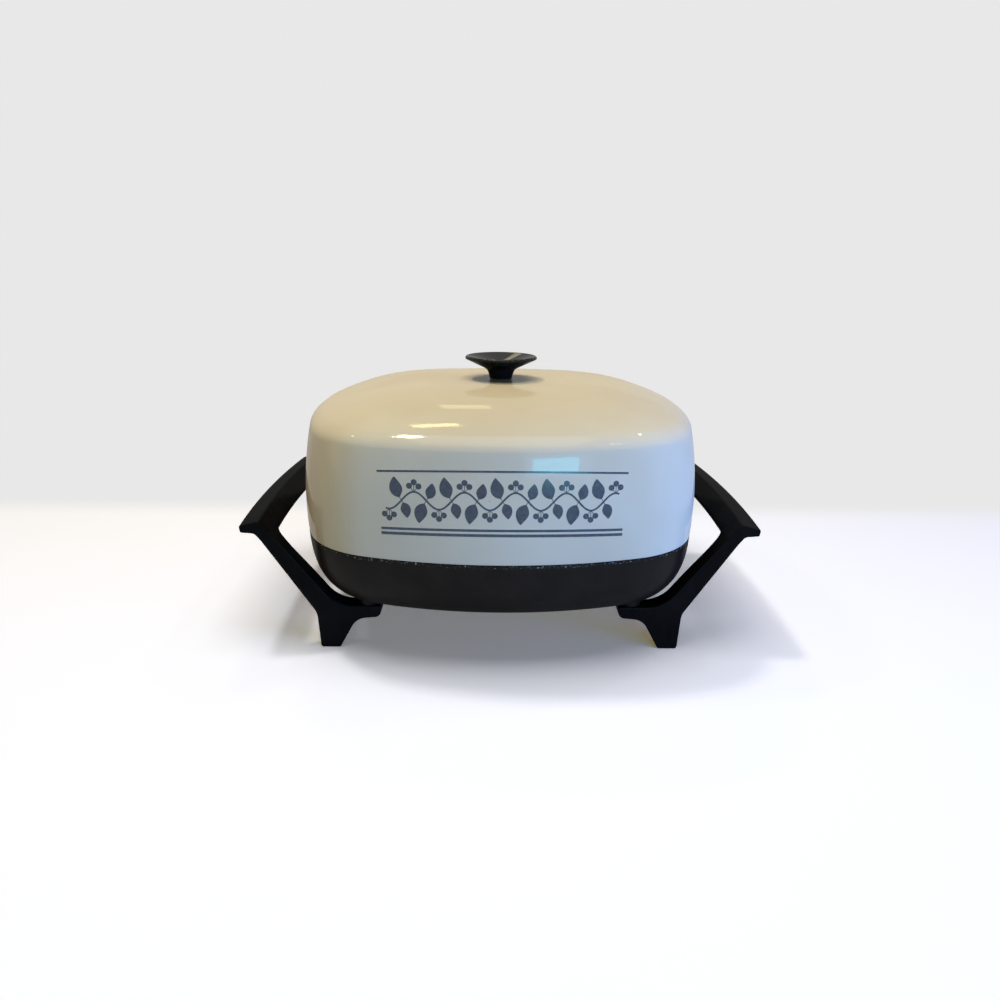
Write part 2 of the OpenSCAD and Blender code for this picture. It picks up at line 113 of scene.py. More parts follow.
def rounded(corners: Sequence[Point3], steps: int = 6) -> list[Point2]:
    """Round the corners of a closed outline.

    Args:
        corners: Each corner as two coordinates and the radius that rounds it.
        steps: Segments along each rounded corner.

    Returns:
        The outline's points, with an arc in place of each rounded corner.
    """
    points: list[Point2] = []
    for index, (x, y, radius) in enumerate(corners):
        here = Vector((x, y))
        if radius <= 0:
            points.append((x, y))
            continue
        before = (Vector(corners[index - 1][:2]) - here).normalized()
        after = (Vector(corners[(index + 1) % len(corners)][:2]) - here).normalized()
        half = before.angle(after) / 2
        centre = here + (before + after).normalized() * (radius / math.sin(half))
        start = here + before * (radius / math.tan(half)) - centre
        end = here + after * (radius / math.tan(half)) - centre
        turn = math.pi - 2 * half
        way = 1 if start.x * end.y - start.y * end.x > 0 else -1
        for step in range(steps + 1):
            angle = way * turn * step / steps
            points.append((
                centre.x + start.x * math.cos(angle) - start.y * math.sin(angle),
                centre.y + start.x * math.sin(angle) + start.y * math.cos(angle),
            ))
    return points


def divided(points: Sequence[Point2], longest: float, closed: bool = True) -> list[Point2]:
    """Put points along the long stretches of an outline.

    Args:
        points: The outline.
        longest: The longest stretch that stays undivided.
        closed: Whether the last point joins the first.

    Returns:
        The outline with its long stretches divided evenly.
    """
    made: list[Point2] = []
    count = len(points)
    for index in range(count if closed else count - 1):
        a, b = Vector(points[index]), Vector(points[(index + 1) % count])
        parts = max(1, math.ceil((b - a).length / longest))
        made += [tuple(a.lerp(b, part / parts)) for part in range(parts)]
    if not closed:
        made.append(tuple(points[-1]))
    return made


def smooth_step(share: float) -> float:
    """Ease a share from 0 to 1, flat at both ends."""
    share = max(0.0, min(1.0, share))
    return share * share * (3 - 2 * share)


def quarter_arc(steps: int, first: int = 0) -> list[Point2]:
    """Give points along a quarter of a circle of radius 1.

    Args:
        steps: Segments in the whole quarter.
        first: The first point that is given.

    Returns:
        The cosine and the sine at each point.
    """
    turns = [QUARTER * step / steps for step in range(first, steps + 1)]
    return [(math.cos(turn), math.sin(turn)) for turn in turns]


@dataclass(frozen=True)
class BowedSquare:
    """The plan outline of pan and lid: four bowed sides joined by round corners.

    The arcs keep their centres at every inset, so a smaller outline is a true
    offset of a larger one.
    """

    half: float
    side_r: float = 300.0
    corner_r: float = 72.0
    side_steps: int = 28
    corner_steps: int = 18

    @property
    def side_centre(self) -> float:
        """Give the distance of a side arc's centre beyond the middle."""
        return self.side_r - self.half

    @property
    def corner_centre(self) -> float:
        """Give the X and Y of a corner arc's centre."""
        far = self.side_centre
        return (-2 * far + math.sqrt(4 * far**2 - 8 * (far**2 - (self.side_r - self.corner_r) ** 2))) / 4

    @property
    def side_turn(self) -> float:
        """Give half the angle that a side arc spans."""
        return math.atan2(self.corner_centre, self.corner_centre + self.side_centre)

    def ring(self, inset: float, z: float, scale: float = 1.0) -> list[Point3]:
        """Give one closed ring of points.

        Args:
            inset: Distance in from the widest outline.
            z: Height of the ring.
            scale: Share by which the ring is drawn in to the middle.

        Returns:
            The ring's points, anticlockwise from the front left.
        """
        quarter: list[Point2] = []
        for step in range(self.side_steps):
            turn = self.side_turn * (2 * step / self.side_steps - 1)
            radius = self.side_r - inset
            quarter.append((radius * math.sin(turn), self.side_centre - radius * math.cos(turn)))
        for step in range(self.corner_steps):
            turn = self.side_turn + (math.pi / 2 - 2 * self.side_turn) * step / self.corner_steps
            radius = self.corner_r - inset
            quarter.append((
                self.corner_centre + radius * math.sin(turn),
                -self.corner_centre - radius * math.cos(turn),
            ))
        ring: list[Point3] = []
        for turns in range(4):
            for x, y in quarter:
                for _ in range(turns):
                    x, y = -y, x
                ring.append((x * scale, y * scale, z))
        return ring

    def front_y(self, x: float, inset: float) -> float:
        """Give the Y of the front side at one X and inset."""
        return self.side_centre - math.sqrt((self.side_r - inset) ** 2 - x * x)


# ---- Meshes -----------------------------------------------------------------


class Skin:
    """A mesh under construction, in millimetres."""

    def __init__(self) -> None:
        """Start with no points and no faces."""
        self.points: list[Point3] = []
        self.faces: list[tuple[int, ...]] = []

    def add(self, points: Iterable[Point3]) -> list[int]:
        """Add points and give their numbers.

        Args:
            points: The new points.

        Returns:
            Their numbers.
        """
        first = len(self.points)
        self.points += [tuple(point) for point in points]
        return list(range(first, len(self.points)))

    def bridge(self, lower: Sequence[int], upper: Sequence[int], closed: bool = True) -> None:
        """Join two rows of as many points with quads.

        Args:
            lower: The first row.
            upper: The second row.
            closed: Whether each row is a closed ring.
        """
        count = len(lower)
        for index in range(count if closed else count - 1):
            after = (index + 1) % count
            self.faces.append((lower[index], lower[after], upper[after], upper[index]))

    def loft(self, rings: Sequence[Sequence[Point3]], caps: bool = True) -> list[list[int]]:
        """Skin a stack of rings.

        Args:
            rings: The rings, each with as many points.
            caps: Whether the first and last ring are closed with a flat face.

        Returns:
            The numbers of each ring's points.
        """
        rows = [self.add(ring) for ring in rings]
        for lower, upper in zip(rows, rows[1:]):
            self.bridge(lower, upper)
        if caps:
            self.faces.append(tuple(reversed(rows[0])))
            self.faces.append(tuple(rows[-1]))
        return rows

    def lathe(self, profile: Sequence[Point2], steps: int, place: Matrix | None = None) -> None:
        """Turn a profile about the Z axis.

        Args:
            profile: Radius and height of each point. The ends at radius 0 close the shape.
            steps: Points round the axis.
            place: Where the turned shape goes, or None for the origin.
        """
        rows: list[list[int]] = []
        for radius, z in profile:
            count = 1 if radius < 1e-6 else steps
            ring = [Vector((
                radius * math.cos(2 * math.pi * step / steps),
                radius * math.sin(2 * math.pi * step / steps),
                z,
            )) for step in range(count)]
            rows.append(self.add(tuple(place @ point if place else point) for point in ring))
        for lower, upper in zip(rows, rows[1:]):
            if len(lower) == 1 or len(upper) == 1:
                tip, ring = (lower[0], upper) if len(lower) == 1 else (upper[0], lower)
                for index in range(steps):
                    edge = (ring[index], ring[(index + 1) % steps])
                    self.faces.append((tip, edge[1], edge[0]) if len(lower) == 1 else (tip, *edge))
            else:
                self.bridge(lower, upper)

    def build(self, name: str, sharp_deg: float = 35.0) -> Piece:
        """Make the Blender object.

        Args:
            name: Name of the piece.
            sharp_deg: Edges that turn by more than this stay sharp.

        Returns:
            The new object, linked to the scene.
        """
        mesh = bpy.data.meshes.new(name)
        mesh.from_pydata([Vector(point) * MM for point in self.points], [], self.faces)
        clean_mesh(mesh, sharp_deg)
        piece = bpy.data.objects.new(name, mesh)
        bpy.context.scene.collection.objects.link(piece)
        return piece


def clean_mesh(mesh: bpy.types.Mesh, sharp_deg: float) -> None:
    """Weld a mesh, turn its faces outward and shade it smooth between sharp edges.

    Args:
        mesh: The mesh, in metres.
        sharp_deg: Edges that turn by more than this stay sharp.
    """
    work = bmesh.new()
    work.from_mesh(mesh)
    bmesh.ops.remove_doubles(work, verts=work.verts, dist=WELD_DISTANCE)
    bmesh.ops.dissolve_degenerate(work, dist=SLIVER, edges=work.edges)
    bmesh.ops.recalc_face_normals(work, faces=work.faces)
    work.to_mesh(mesh)
    work.free()
    mesh.shade_smooth()
    mesh.set_sharp_from_angle(angle=math.radians(sharp_deg))
    mesh.update()


def combine(piece: Piece, others: Sequence[Piece], operation: str, sharp_deg: float = 35.0) -> Piece:
    """Join pieces to one solid, or cut them away from it.

    Args:
        piece: The solid that is changed.
        others: Solids that are used up.
        operation: Blender's word for it, UNION or DIFFERENCE.
        sharp_deg: Edges that turn by more than this stay sharp.

    Returns:
        The same piece, with the result as its mesh.
    """
    for other in others:
        cut = piece.modifiers.new("combine", "BOOLEAN")
        cut.operation = operation
        cut.solver = "EXACT"
        cut.object = other
        graph = bpy.context.evaluated_depsgraph_get()
        made = bpy.data.meshes.new_from_object(piece.evaluated_get(graph))
        piece.modifiers.clear()
        old, piece.data = piece.data, made
        bpy.data.meshes.remove(old)
        bpy.data.objects.remove(other, do_unlink=True)
    clean_mesh(piece.data, sharp_deg)
    return piece


def weigh_normals(piece: Piece) -> None:
    """Keep the flat faces of a piece flat to the eye beside its rounded edges.

    Args:
        piece: The piece, which gets a modifier.
    """
    weights = piece.modifiers.new("flat faces stay flat", "WEIGHTED_NORMAL")
    weights.keep_sharp = True
    weights.weight = 80


# ---- Finishes ---------------------------------------------------------------


def add_node(tree: bpy.types.NodeTree, kind: str, inputs: Inputs | None = None,
             **settings: str) -> bpy.types.Node:
    """Add a shader node.

    Args:
        tree: The node tree that takes it.
        kind: Its type, without the word ShaderNode.
        inputs: A value or another node's socket for each input, by name or number.
        settings: The node's own properties, such as its operation.

    Returns:
        The new node.
    """
    node = tree.nodes.new("ShaderNode" + kind)
    for name, value in settings.items():
        setattr(node, name, value)
    for name, value in (inputs or {}).items():
        if isinstance(value, Socket):
            tree.links.new(value, node.inputs[name])
        else:
            node.inputs[name].default_value = value
    return node


class NodeDesk:
    """Short ways to add shader nodes to one material."""

    def __init__(self, name: str) -> None:
        """Make an empty material with a Principled shader.

        Args:
            name: The material's name.
        """
        self.material = bpy.data.materials.new(name)
        self.material.use_nodes = True
        self.tree = self.material.node_tree
        self.shader = self.tree.nodes["Principled BSDF"]
        place = add_node(self.tree, "TexCoord").outputs["Object"]
        in_mm = {"Vector": place, "Scale": (1 / MM,) * 3}
        self.place = add_node(self.tree, "Mapping", in_mm).outputs["Vector"]

    def link(self, source: Socket, target: str) -> None:
        """Join a socket to one of the shader's inputs."""
        self.tree.links.new(source, self.shader.inputs[target])

    def constants(self, **values: float) -> None:
        """Set the shader's own sockets, with underscores for spaces in their names."""
        for name, value in values.items():
            self.shader.inputs[name.replace("_", " ")].default_value = value

    def noise(self, size: float, detail: float = 3.0, roughness: float = 0.5,
              stretch: Point3 = (1.0, 1.0, 1.0)) -> Socket:
        """Add a noise.

        Args:
            size: About how wide its lumps are, in millimetres.
            detail: How many finer layers it has.
            roughness: How strong these are.
            stretch: Scale along each axis. Under 1 draws the lumps out.

        Returns:
            The noise, mostly between 0.3 and 0.7.
        """
        vector = self.place
        if stretch != (1.0, 1.0, 1.0):
            vector = add_node(self.tree, "Mapping", {"Vector": vector, "Scale": stretch}).outputs["Vector"]
        inputs = {"Vector": vector, "Scale": 1 / size, "Detail": detail, "Roughness": roughness}
        return add_node(self.tree, "TexNoise", inputs).outputs["Fac"]

    def specks(self, pitch: float, size: float, share: float) -> Socket:
        """Add small round spots.

        Args:
            pitch: Mean distance between the cells that may hold a spot, in millimetres.
            size: Radius of a spot, in millimetres.
            share: Share of the cells that hold one.

        Returns:
            A mask that is 1 in the spots.
        """
        cells = add_node(self.tree, "TexVoronoi", {"Vector": self.place, "Scale": 1 / pitch})
        near = self.ramp(cells.outputs["Distance"], size / pitch * 1.1, size / pitch * 0.7)
        luck = add_node(self.tree, "SeparateColor", {"Color": cells.outputs["Color"]})
        chosen = self.ramp(luck.outputs["Red"], share + 0.01, share)
        return self.math("MULTIPLY", near, chosen)

    def ramp(self, source: Socket, zero_at: float, one_at: float) -> Socket:
        """Rescale a value so that it is 0 at one level and 1 at another."""
        inputs = {"Value": source, "From Min": zero_at, "From Max": one_at}
        return add_node(self.tree, "MapRange", inputs).outputs["Result"]

    def levels(self, source: Socket, low: float, high: float) -> Socket:
        """Spread a noise over the values from low to high."""
        inputs = {"Value": source, "From Min": 0.3, "From Max": 0.7, "To Min": low, "To Max": high}
        return add_node(self.tree, "MapRange", inputs).outputs["Result"]

    def math(self, operation: str, first: Socket, second: Socket | float) -> Socket:
        """Work out one value from two."""
        return add_node(self.tree, "Math", {0: first, 1: second}, operation=operation).outputs["Value"]

    def height_mm(self) -> Socket:
        """Give the height above the table, in millimetres."""
        return add_node(self.tree, "SeparateXYZ", {"Vector": self.place}).outputs["Z"]

    def blend(self, amount: Socket, first: Rgb | Socket, second: Rgb | Socket) -> Socket:
        """Blend two colours by a mask.

        Args:
            amount: The mask.
            first: The colour where it is 0.
            second: The colour where it is 1.

        Returns:
            The blended colour.
        """
        factor, colours, result = 0, (6, 7), 2
        inputs: Inputs = {factor: amount}
        for number, colour in zip(colours, (first, second)):
            inputs[number] = (*colour, 1.0) if isinstance(colour, tuple) else colour
        return add_node(self.tree, "Mix", inputs, data_type="RGBA").outputs[result]

    def colour(self, source: Socket) -> None:
        """Use a colour as the shader's base colour."""
        self.link(source, "Base Color")

    def roughness(self, source: Socket) -> None:
        """Use a value as the shader's roughness."""
        self.link(source, "Roughness")

    def bump(self, *layers: tuple[Socket, float]) -> None:
        """Raise the surface by some height maps.

        Args:
            layers: Each height map with the height in millimetres that its full range stands for.
        """
        below: Inputs = {}
        for source, height in layers:
            bump = add_node(self.tree, "Bump", {"Distance": height * MM, "Height": source, **below})
            below = {"Normal": bump.outputs["Normal"]}
        for target in ("Normal", "Coat Normal"):
            self.link(below["Normal"], target)


@dataclass(frozen=True)
class Enamel:
    """Glossy baked enamel on drawn metal, off-white with faint orange peel."""

    name: str = "glossy_enamel"
    light: Rgb = srgb(224, 211, 181)
    dark: Rgb = srgb(218, 203, 172)
    speck: Rgb = srgb(120, 108, 92)
    gloss: tuple[float, float] = (0.05, 0.10)

    def material(self) -> Material:
        """Make the material.

        Returns:
            The enamel's material.
        """
        desk = NodeDesk(self.name)
        desk.constants(Specular_IOR_Level=0.0, Coat_Weight=0.32, Coat_Roughness=0.05)
        clouds = desk.noise(70.0, 2.0)
        base = desk.blend(desk.ramp(clouds, 0.35, 0.65), self.dark, self.light)
        base = desk.blend(desk.specks(9.0, 0.34, 0.05), base, self.speck)
        desk.colour(base)
        desk.roughness(desk.levels(desk.noise(28.0, 4.0, 0.6), *self.gloss))
        desk.bump((desk.noise(3.2, 2.0), 0.012), (desk.noise(45.0, 1.0), 0.12))
        return desk.material


@dataclass(frozen=True)
class Ink:
    """Printed enamel, slate blue-grey and slightly uneven."""

    name: str = "slate_ink"
    light: Rgb = srgb(66, 77, 86)
    dark: Rgb = srgb(50, 60, 68)

    def material(self) -> Material:
        """Make the material.

        Returns:
            The ink's material.
        """
        desk = NodeDesk(self.name)
        desk.constants(IOR=1.5)
        mottle = desk.ramp(desk.noise(2.4, 4.0, 0.65), 0.36, 0.64)
        desk.colour(desk.blend(mottle, self.dark, self.light))
        desk.roughness(desk.levels(desk.noise(5.0), 0.16, 0.28))
        desk.bump((desk.noise(0.9, 2.0), 0.01))
        return desk.material


@dataclass(frozen=True)
class PanCoating:
    """Dark satin coating on cast metal, worn bright in specks along its top edge."""

    name: str = "pan_coating"
    light: Rgb = srgb(30, 25, 21)
    dark: Rgb = srgb(18, 15, 12)
    bare: Rgb = srgb(168, 164, 156)
    edge_z: float = 86.2

    def material(self) -> Material:
        """Make the material.

        Returns:
            The coating's material.
        """
        desk = NodeDesk(self.name)
        desk.constants(Specular_IOR_Level=0.0, Coat_Weight=0.2, Coat_Roughness=0.34)
        mottle = desk.ramp(desk.noise(26.0, 4.0, 0.6), 0.34, 0.68)
        base = desk.blend(mottle, self.dark, self.light)
        height = desk.height_mm()
        near_edge = desk.math("MULTIPLY", desk.ramp(height, self.edge_z - 2.6, self.edge_z - 0.4),
                              desk.ramp(height, self.edge_z + 1.6, self.edge_z + 0.4))
        chips = desk.ramp(desk.noise(1.5, 3.0, 0.7), 0.58, 0.66)
        worn = desk.math("MULTIPLY", near_edge, chips)
        strays = desk.specks(13.0, 0.45, 0.06)
        worn = desk.math("MAXIMUM", worn, strays)
        desk.colour(desk.blend(worn, base, self.bare))
        desk.roughness(desk.levels(desk.noise(14.0, 4.0, 0.6), 0.30, 0.46))
        desk.bump((desk.noise(0.7, 2.0), 0.03), (desk.noise(8.0, 2.0), 0.05))
        return desk.material


@dataclass(frozen=True)
class Phenolic:
    """Glossy black moulding with faint flow marks and hairline scuffs."""

    name: str = "black_phenolic"
    light: Rgb = srgb(20, 19, 18)
    dark: Rgb = srgb(10, 10, 10)
    coat: float = 0.06
    coat_rough: float = 0.1

    def material(self) -> Material:
        """Make the material.

        Returns:
            The moulding's material.
        """
        desk = NodeDesk(self.name)
        desk.constants(Specular_IOR_Level=0.0, Coat_Weight=self.coat, Coat_Roughness=self.coat_rough)
        flow = desk.noise(18.0, 5.0, 0.65, (1.0, 1.0, 0.45))
        desk.colour(desk.blend(desk.ramp(flow, 0.35, 0.7), self.dark, self.light))
        scuffs = desk.ramp(desk.noise(2.2, 3.0, 0.7, (1.0, 0.12, 1.0)), 0.62, 0.72)
        gloss = desk.levels(desk.noise(11.0, 4.0, 0.6), 0.14, 0.27)
        desk.roughness(desk.math("ADD", gloss, desk.math("MULTIPLY", scuffs, 0.15)))
        desk.bump((desk.noise(1.4, 2.0), 0.008), (desk.noise(16.0, 1.0), 0.05))
        return desk.material


@dataclass(frozen=True)
class Metal:
    """Bare or plated metal, brushed or drawn along one axis."""

    name: str
    light: Rgb
    dark: Rgb
    rough: tuple[float, float] = (0.22, 0.36)
    stretch: Point3 = (0.06, 1.0, 1.0)
    tarnish: Rgb = srgb(112, 96, 78)
    tarnish_share: float = 0.25

    def material(self) -> Material:
        """Make the material.

        Returns:
            The metal's material.
        """
        desk = NodeDesk(self.name)
        desk.constants(Metallic=1.0)
        lines = desk.noise(0.35, 3.0, 0.6, self.stretch)
        base = desk.blend(desk.ramp(lines, 0.3, 0.7), self.dark, self.light)
        share = self.tarnish_share
        patches = desk.ramp(desk.noise(6.0, 4.0, 0.65), 1 - share * 1.6, 1 - share * 0.8)
        desk.colour(desk.blend(patches, base, self.tarnish))
        desk.roughness(desk.levels(lines, *self.rough))
        desk.bump((lines, 0.006))
        return desk.material


@dataclass(frozen=True)
class Matte:
    """A dull fired or pressed material with a fine grain."""

    name: str
    light: Rgb
    dark: Rgb
    grain: float = 0.5
    rough: tuple[float, float] = (0.55, 0.75)

    def material(self) -> Material:
        """Make the material.

        Returns:
            The dull material.
        """
        desk = NodeDesk(self.name)
        desk.constants(IOR=1.5)
        mottle = desk.ramp(desk.noise(self.grain * 4, 4.0, 0.65), 0.35, 0.65)
        desk.colour(desk.blend(mottle, self.dark, self.light))
        desk.roughness(desk.levels(desk.noise(self.grain * 2), *self.rough))
        desk.bump((desk.noise(self.grain, 3.0), 0.03))
        return desk.material


@dataclass
class Finishes:
    """Every finish on the object, made once."""

    enamel: Material = field(default_factory=Enamel().material)
    ink: Material = field(default_factory=Ink().material)
    coating: Material = field(default_factory=PanCoating().material)
    phenolic: Material = field(default_factory=Phenolic().material)
    polished: Material = field(default_factory=Phenolic(
        "polished_phenolic", coat=0.42, coat_rough=0.04).material)
    sheath: Material = field(default_factory=Metal(
        "element_sheath", srgb(150, 140, 128), srgb(112, 102, 92), (0.35, 0.5), (1.0, 0.1, 1.0),
        srgb(86, 66, 58), 0.45).material)
    plated: Material = field(default_factory=Metal(
        "nickel_plate", srgb(214, 210, 202), srgb(188, 184, 176), (0.12, 0.24)).material)
    guard: Material = field(default_factory=Metal(
        "stamped_sheet", srgb(204, 203, 200), srgb(168, 167, 164), (0.2, 0.36), (1.0, 1.0, 0.05)).material)
    zinc: Material = field(default_factory=Metal(
        "zinc_plate", srgb(190, 190, 188), srgb(150, 150, 148), (0.26, 0.4), (1.0, 1.0, 1.0)).material)
    brass: Material = field(default_factory=Metal(
        "turned_brass", srgb(206, 172, 104), srgb(176, 140, 78), (0.2, 0.34), (1.0, 1.0, 0.2)).material)
    ceramic: Material = field(default_factory=Matte(
        "white_ceramic", srgb(236, 231, 218), srgb(216, 209, 192)).material)
    fibre: Material = field(default_factory=Matte(
        "pressed_fibre", srgb(52, 40, 32), srgb(36, 28, 22), 0.3).material)


def dress(piece: Piece, material: Material, body: Body, slot: str, *replaced: str) -> Piece:
    """Give a new piece its material and body, and hide the CAD nodes that it stands for.

    Args:
        piece: The piece.
        material: Its finish.
        body: The body that it moves with.
        slot: The record's material slot. It is not used.
        replaced: CAD nodes that it hides.

    Returns:
        The same piece.
    """
    piece.data.materials.clear()
    piece.data.materials.append(material)
    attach(piece, body.value)
    if replaced:
        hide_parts(*replaced)
    LOG.info("%s: %d faces on %s", piece.name, len(piece.data.polygons), body.value)
    return piece


def paint_node(node: str, material: Material) -> None:
    """Give a CAD node that stays in view its finish.

    Args:
        node: The node's name.
        material: Its finish.
    """
    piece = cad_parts[node]
    if not piece.material_slots:
        piece.data.materials.append(material)
    for slot in piece.material_slots:
        slot.material = material
    LOG.info("%s: CAD node painted", node)


# ---- Pan --------------------------------------------------------------------


@dataclass
class Pan:
    """The cast pan: wall, seat, rim and cooking floor, with what stands under it."""

    finishes: Finishes
    outline: BowedSquare
    seat_z: float = 86.2
    underside_z: float = 40.0
    bottom_inset: float = 35.0
    wall_inset: float = 1.0
    fullness: float = 2.2
    floor_t: float = 5.0
    foot_t: float = 3.0
    seat_w: float = 3.0
    rim_t: float = 3.0
    rim_h: float = 9.8
    rim_edge: float = 1.1
    wall_steps: int = 20
    boss_r: float = 7.5
    boss_low_z: float = 34.0
    boss_at: Point2 = (98.5, 97.0)
    rib_half: float = 6.5
    loop_half: float = 74.0
    loop_corner_r: float = 34.0
    block_x: float = 116.0
    block_len: float = 24.0
    block_half: float = 25.0
    block_low_z: float = 26.0

    def wall(self, turn: float, inner: bool) -> Point2:
        """Give a point of the wall's curve.

        Args:
            turn: 0 at the top of the wall and a quarter turn at the floor.
            inner: Whether it is the inside.

        Returns:
            The inset and the height.
        """
        power = 2 / self.fullness
        top = self.wall_inset + (self.seat_w + self.rim_t if inner else 0)
        far = self.bottom_inset + (self.foot_t if inner else 0)
        drop = self.seat_z - self.underside_z - (self.floor_t if inner else 0)
        return (far - (far - top) * max(0.0, math.cos(turn)) ** power,
                self.seat_z - drop * max(0.0, math.sin(turn)) ** power)

    def shell(self) -> Piece:
        """Build the casting's shell as one loft from the underside to the cooking floor.

        Returns:
            The casting, still without what stands under it.
        """
        ledge = self.wall_inset + self.seat_w
        inner = ledge + self.rim_t
        top, edge = self.seat_z + self.rim_h, self.rim_edge
        profile: list[Point2] = [self.wall(QUARTER * (1 - step / self.wall_steps), False)
                                 for step in range(self.wall_steps)]
        outer, seat = self.wall_inset, self.seat_z
        profile += [(outer, seat - 0.6), (outer + 0.2, seat - 0.16), (outer + 0.6, seat),
                    (ledge - 0.5, seat), (ledge, seat + 0.5), (ledge, top - edge)]
        profile += [(ledge + edge * (1 - cos), top - edge + edge * sin) for cos, sin in quarter_arc(4, 1)]
        profile += [(inner - edge * (1 - sin), top - edge + edge * cos) for cos, sin in quarter_arc(4)]
        profile += [self.wall(QUARTER * step / self.wall_steps, True)
                    for step in range(self.wall_steps + 1)]
        skin = Skin()
        rings = [self.outline.ring(self.bottom_inset, self.underside_z, share) for share in (0.4, 0.8)]
        rings += [self.outline.ring(inset, z) for inset, z in profile]
        rings += [self.outline.ring(self.bottom_inset + self.foot_t, self.underside_z + self.floor_t, share)
                  for share in (0.8, 0.4)]
        skin.loft(rings)
        return skin.build("pan_body")

    def boss(self, x: float, y: float) -> Piece:
        """Build one of the bosses that a handle is screwed to.

        Args:
            x: Where it stands along X.
            y: Where it stands along Y.

        Returns:
            The boss.
        """
        skin = Skin()
        low = self.boss_low_z
        radius, root = self.boss_r, self.underside_z + 2
        flare = [(radius + 0.6 + 2.0 * (1 - math.cos(turn)), self.underside_z - 2.0 + 2.0 * math.sin(turn))
                 for turn in (0.0, 0.5, 1.0, QUARTER)]
        profile = [(0.0, low), (radius - 0.5, low), (radius - 0.15, low + 0.15), (radius, low + 0.5)]
        profile += flare + [(radius + 2.6, root), (0.0, root)]
        skin.lathe(profile, 40, Matrix.Translation((x, y, 0)))
        return skin.build("boss")

    def rib(self) -> Piece:
        """Build the rib that the heating element lies in, as a ring of its cross-section.

        Returns:
            The rib, a closed ring.
        """
        half, low, high = self.rib_half, self.boss_low_z, self.underside_z + 2
        section = [(half, high), (half, low + 1.2), (half - 0.35, low + 0.35), (half - 1.2, low),
                   (-half + 1.2, low), (-half + 0.35, low + 0.35), (-half, low + 1.2), (-half, high)]
        skin = Skin()
        rings = []
        for across, z in section:
            reach, radius = self.loop_half + across, self.loop_corner_r + across
            corners = [(sx * reach, sy * reach, radius) for sx, sy in ((1, 1), (-1, 1), (-1, -1), (1, -1))]
            rings.append([(x, y, z) for x, y in rounded(corners, 12)])
        rows = skin.loft(rings, caps=False)
        skin.bridge(rows[-1], rows[0])
        return skin.build("rib")

    def bar(self, low: Point3, high: Point3, edge: float, name: str) -> Piece:
        """Build a straight bar with rounded upright edges and a rounded underside.

        Args:
            low: Its lowest corner.
            high: Its highest corner.
            edge: Radius of its edges.
            name: Its name.

        Returns:
            The bar.
        """
        skin = Skin()
        rings = []
        foot = low[2]
        for inset, z in ((edge, foot), (edge * 0.3, foot + edge * 0.3), (0.0, foot + edge), (0.0, high[2])):
            left, front, right, back = low[0] + inset, low[1] + inset, high[0] - inset, high[1] - inset
            corners = [(left, front, edge), (right, front, edge), (right, back, edge), (left, back, edge)]
            rings.append([(x, y, z) for x, y in rounded(corners, 4)])
        skin.loft(rings)
        return skin.build(name)

    def build(self) -> None:
        """Build the pan and dress it."""
        body = self.shell()
        x, y = self.boss_at
        parts = [self.rib()]
        parts += [self.boss(sx * x, sy * y) for sx in (-1, 1) for sy in (-1, 1)]
        back = self.block_x - self.block_len
        parts.append(self.bar((back - 36, -self.rib_half, self.boss_low_z),
                              (back + 6, self.rib_half, self.underside_z + 1.5), 1.4, "probe_rib"))
        parts.append(self.bar((back, -self.block_half, self.block_low_z),
                              (self.block_x, self.block_half, self.underside_z + 2), 2.0, "block"))
        combine(body, parts, "UNION")
        dress(body, self.finishes.coating, Body.BASE, "pan_coating", "pan")


# ---- Handles ----------------------------------------------------------------


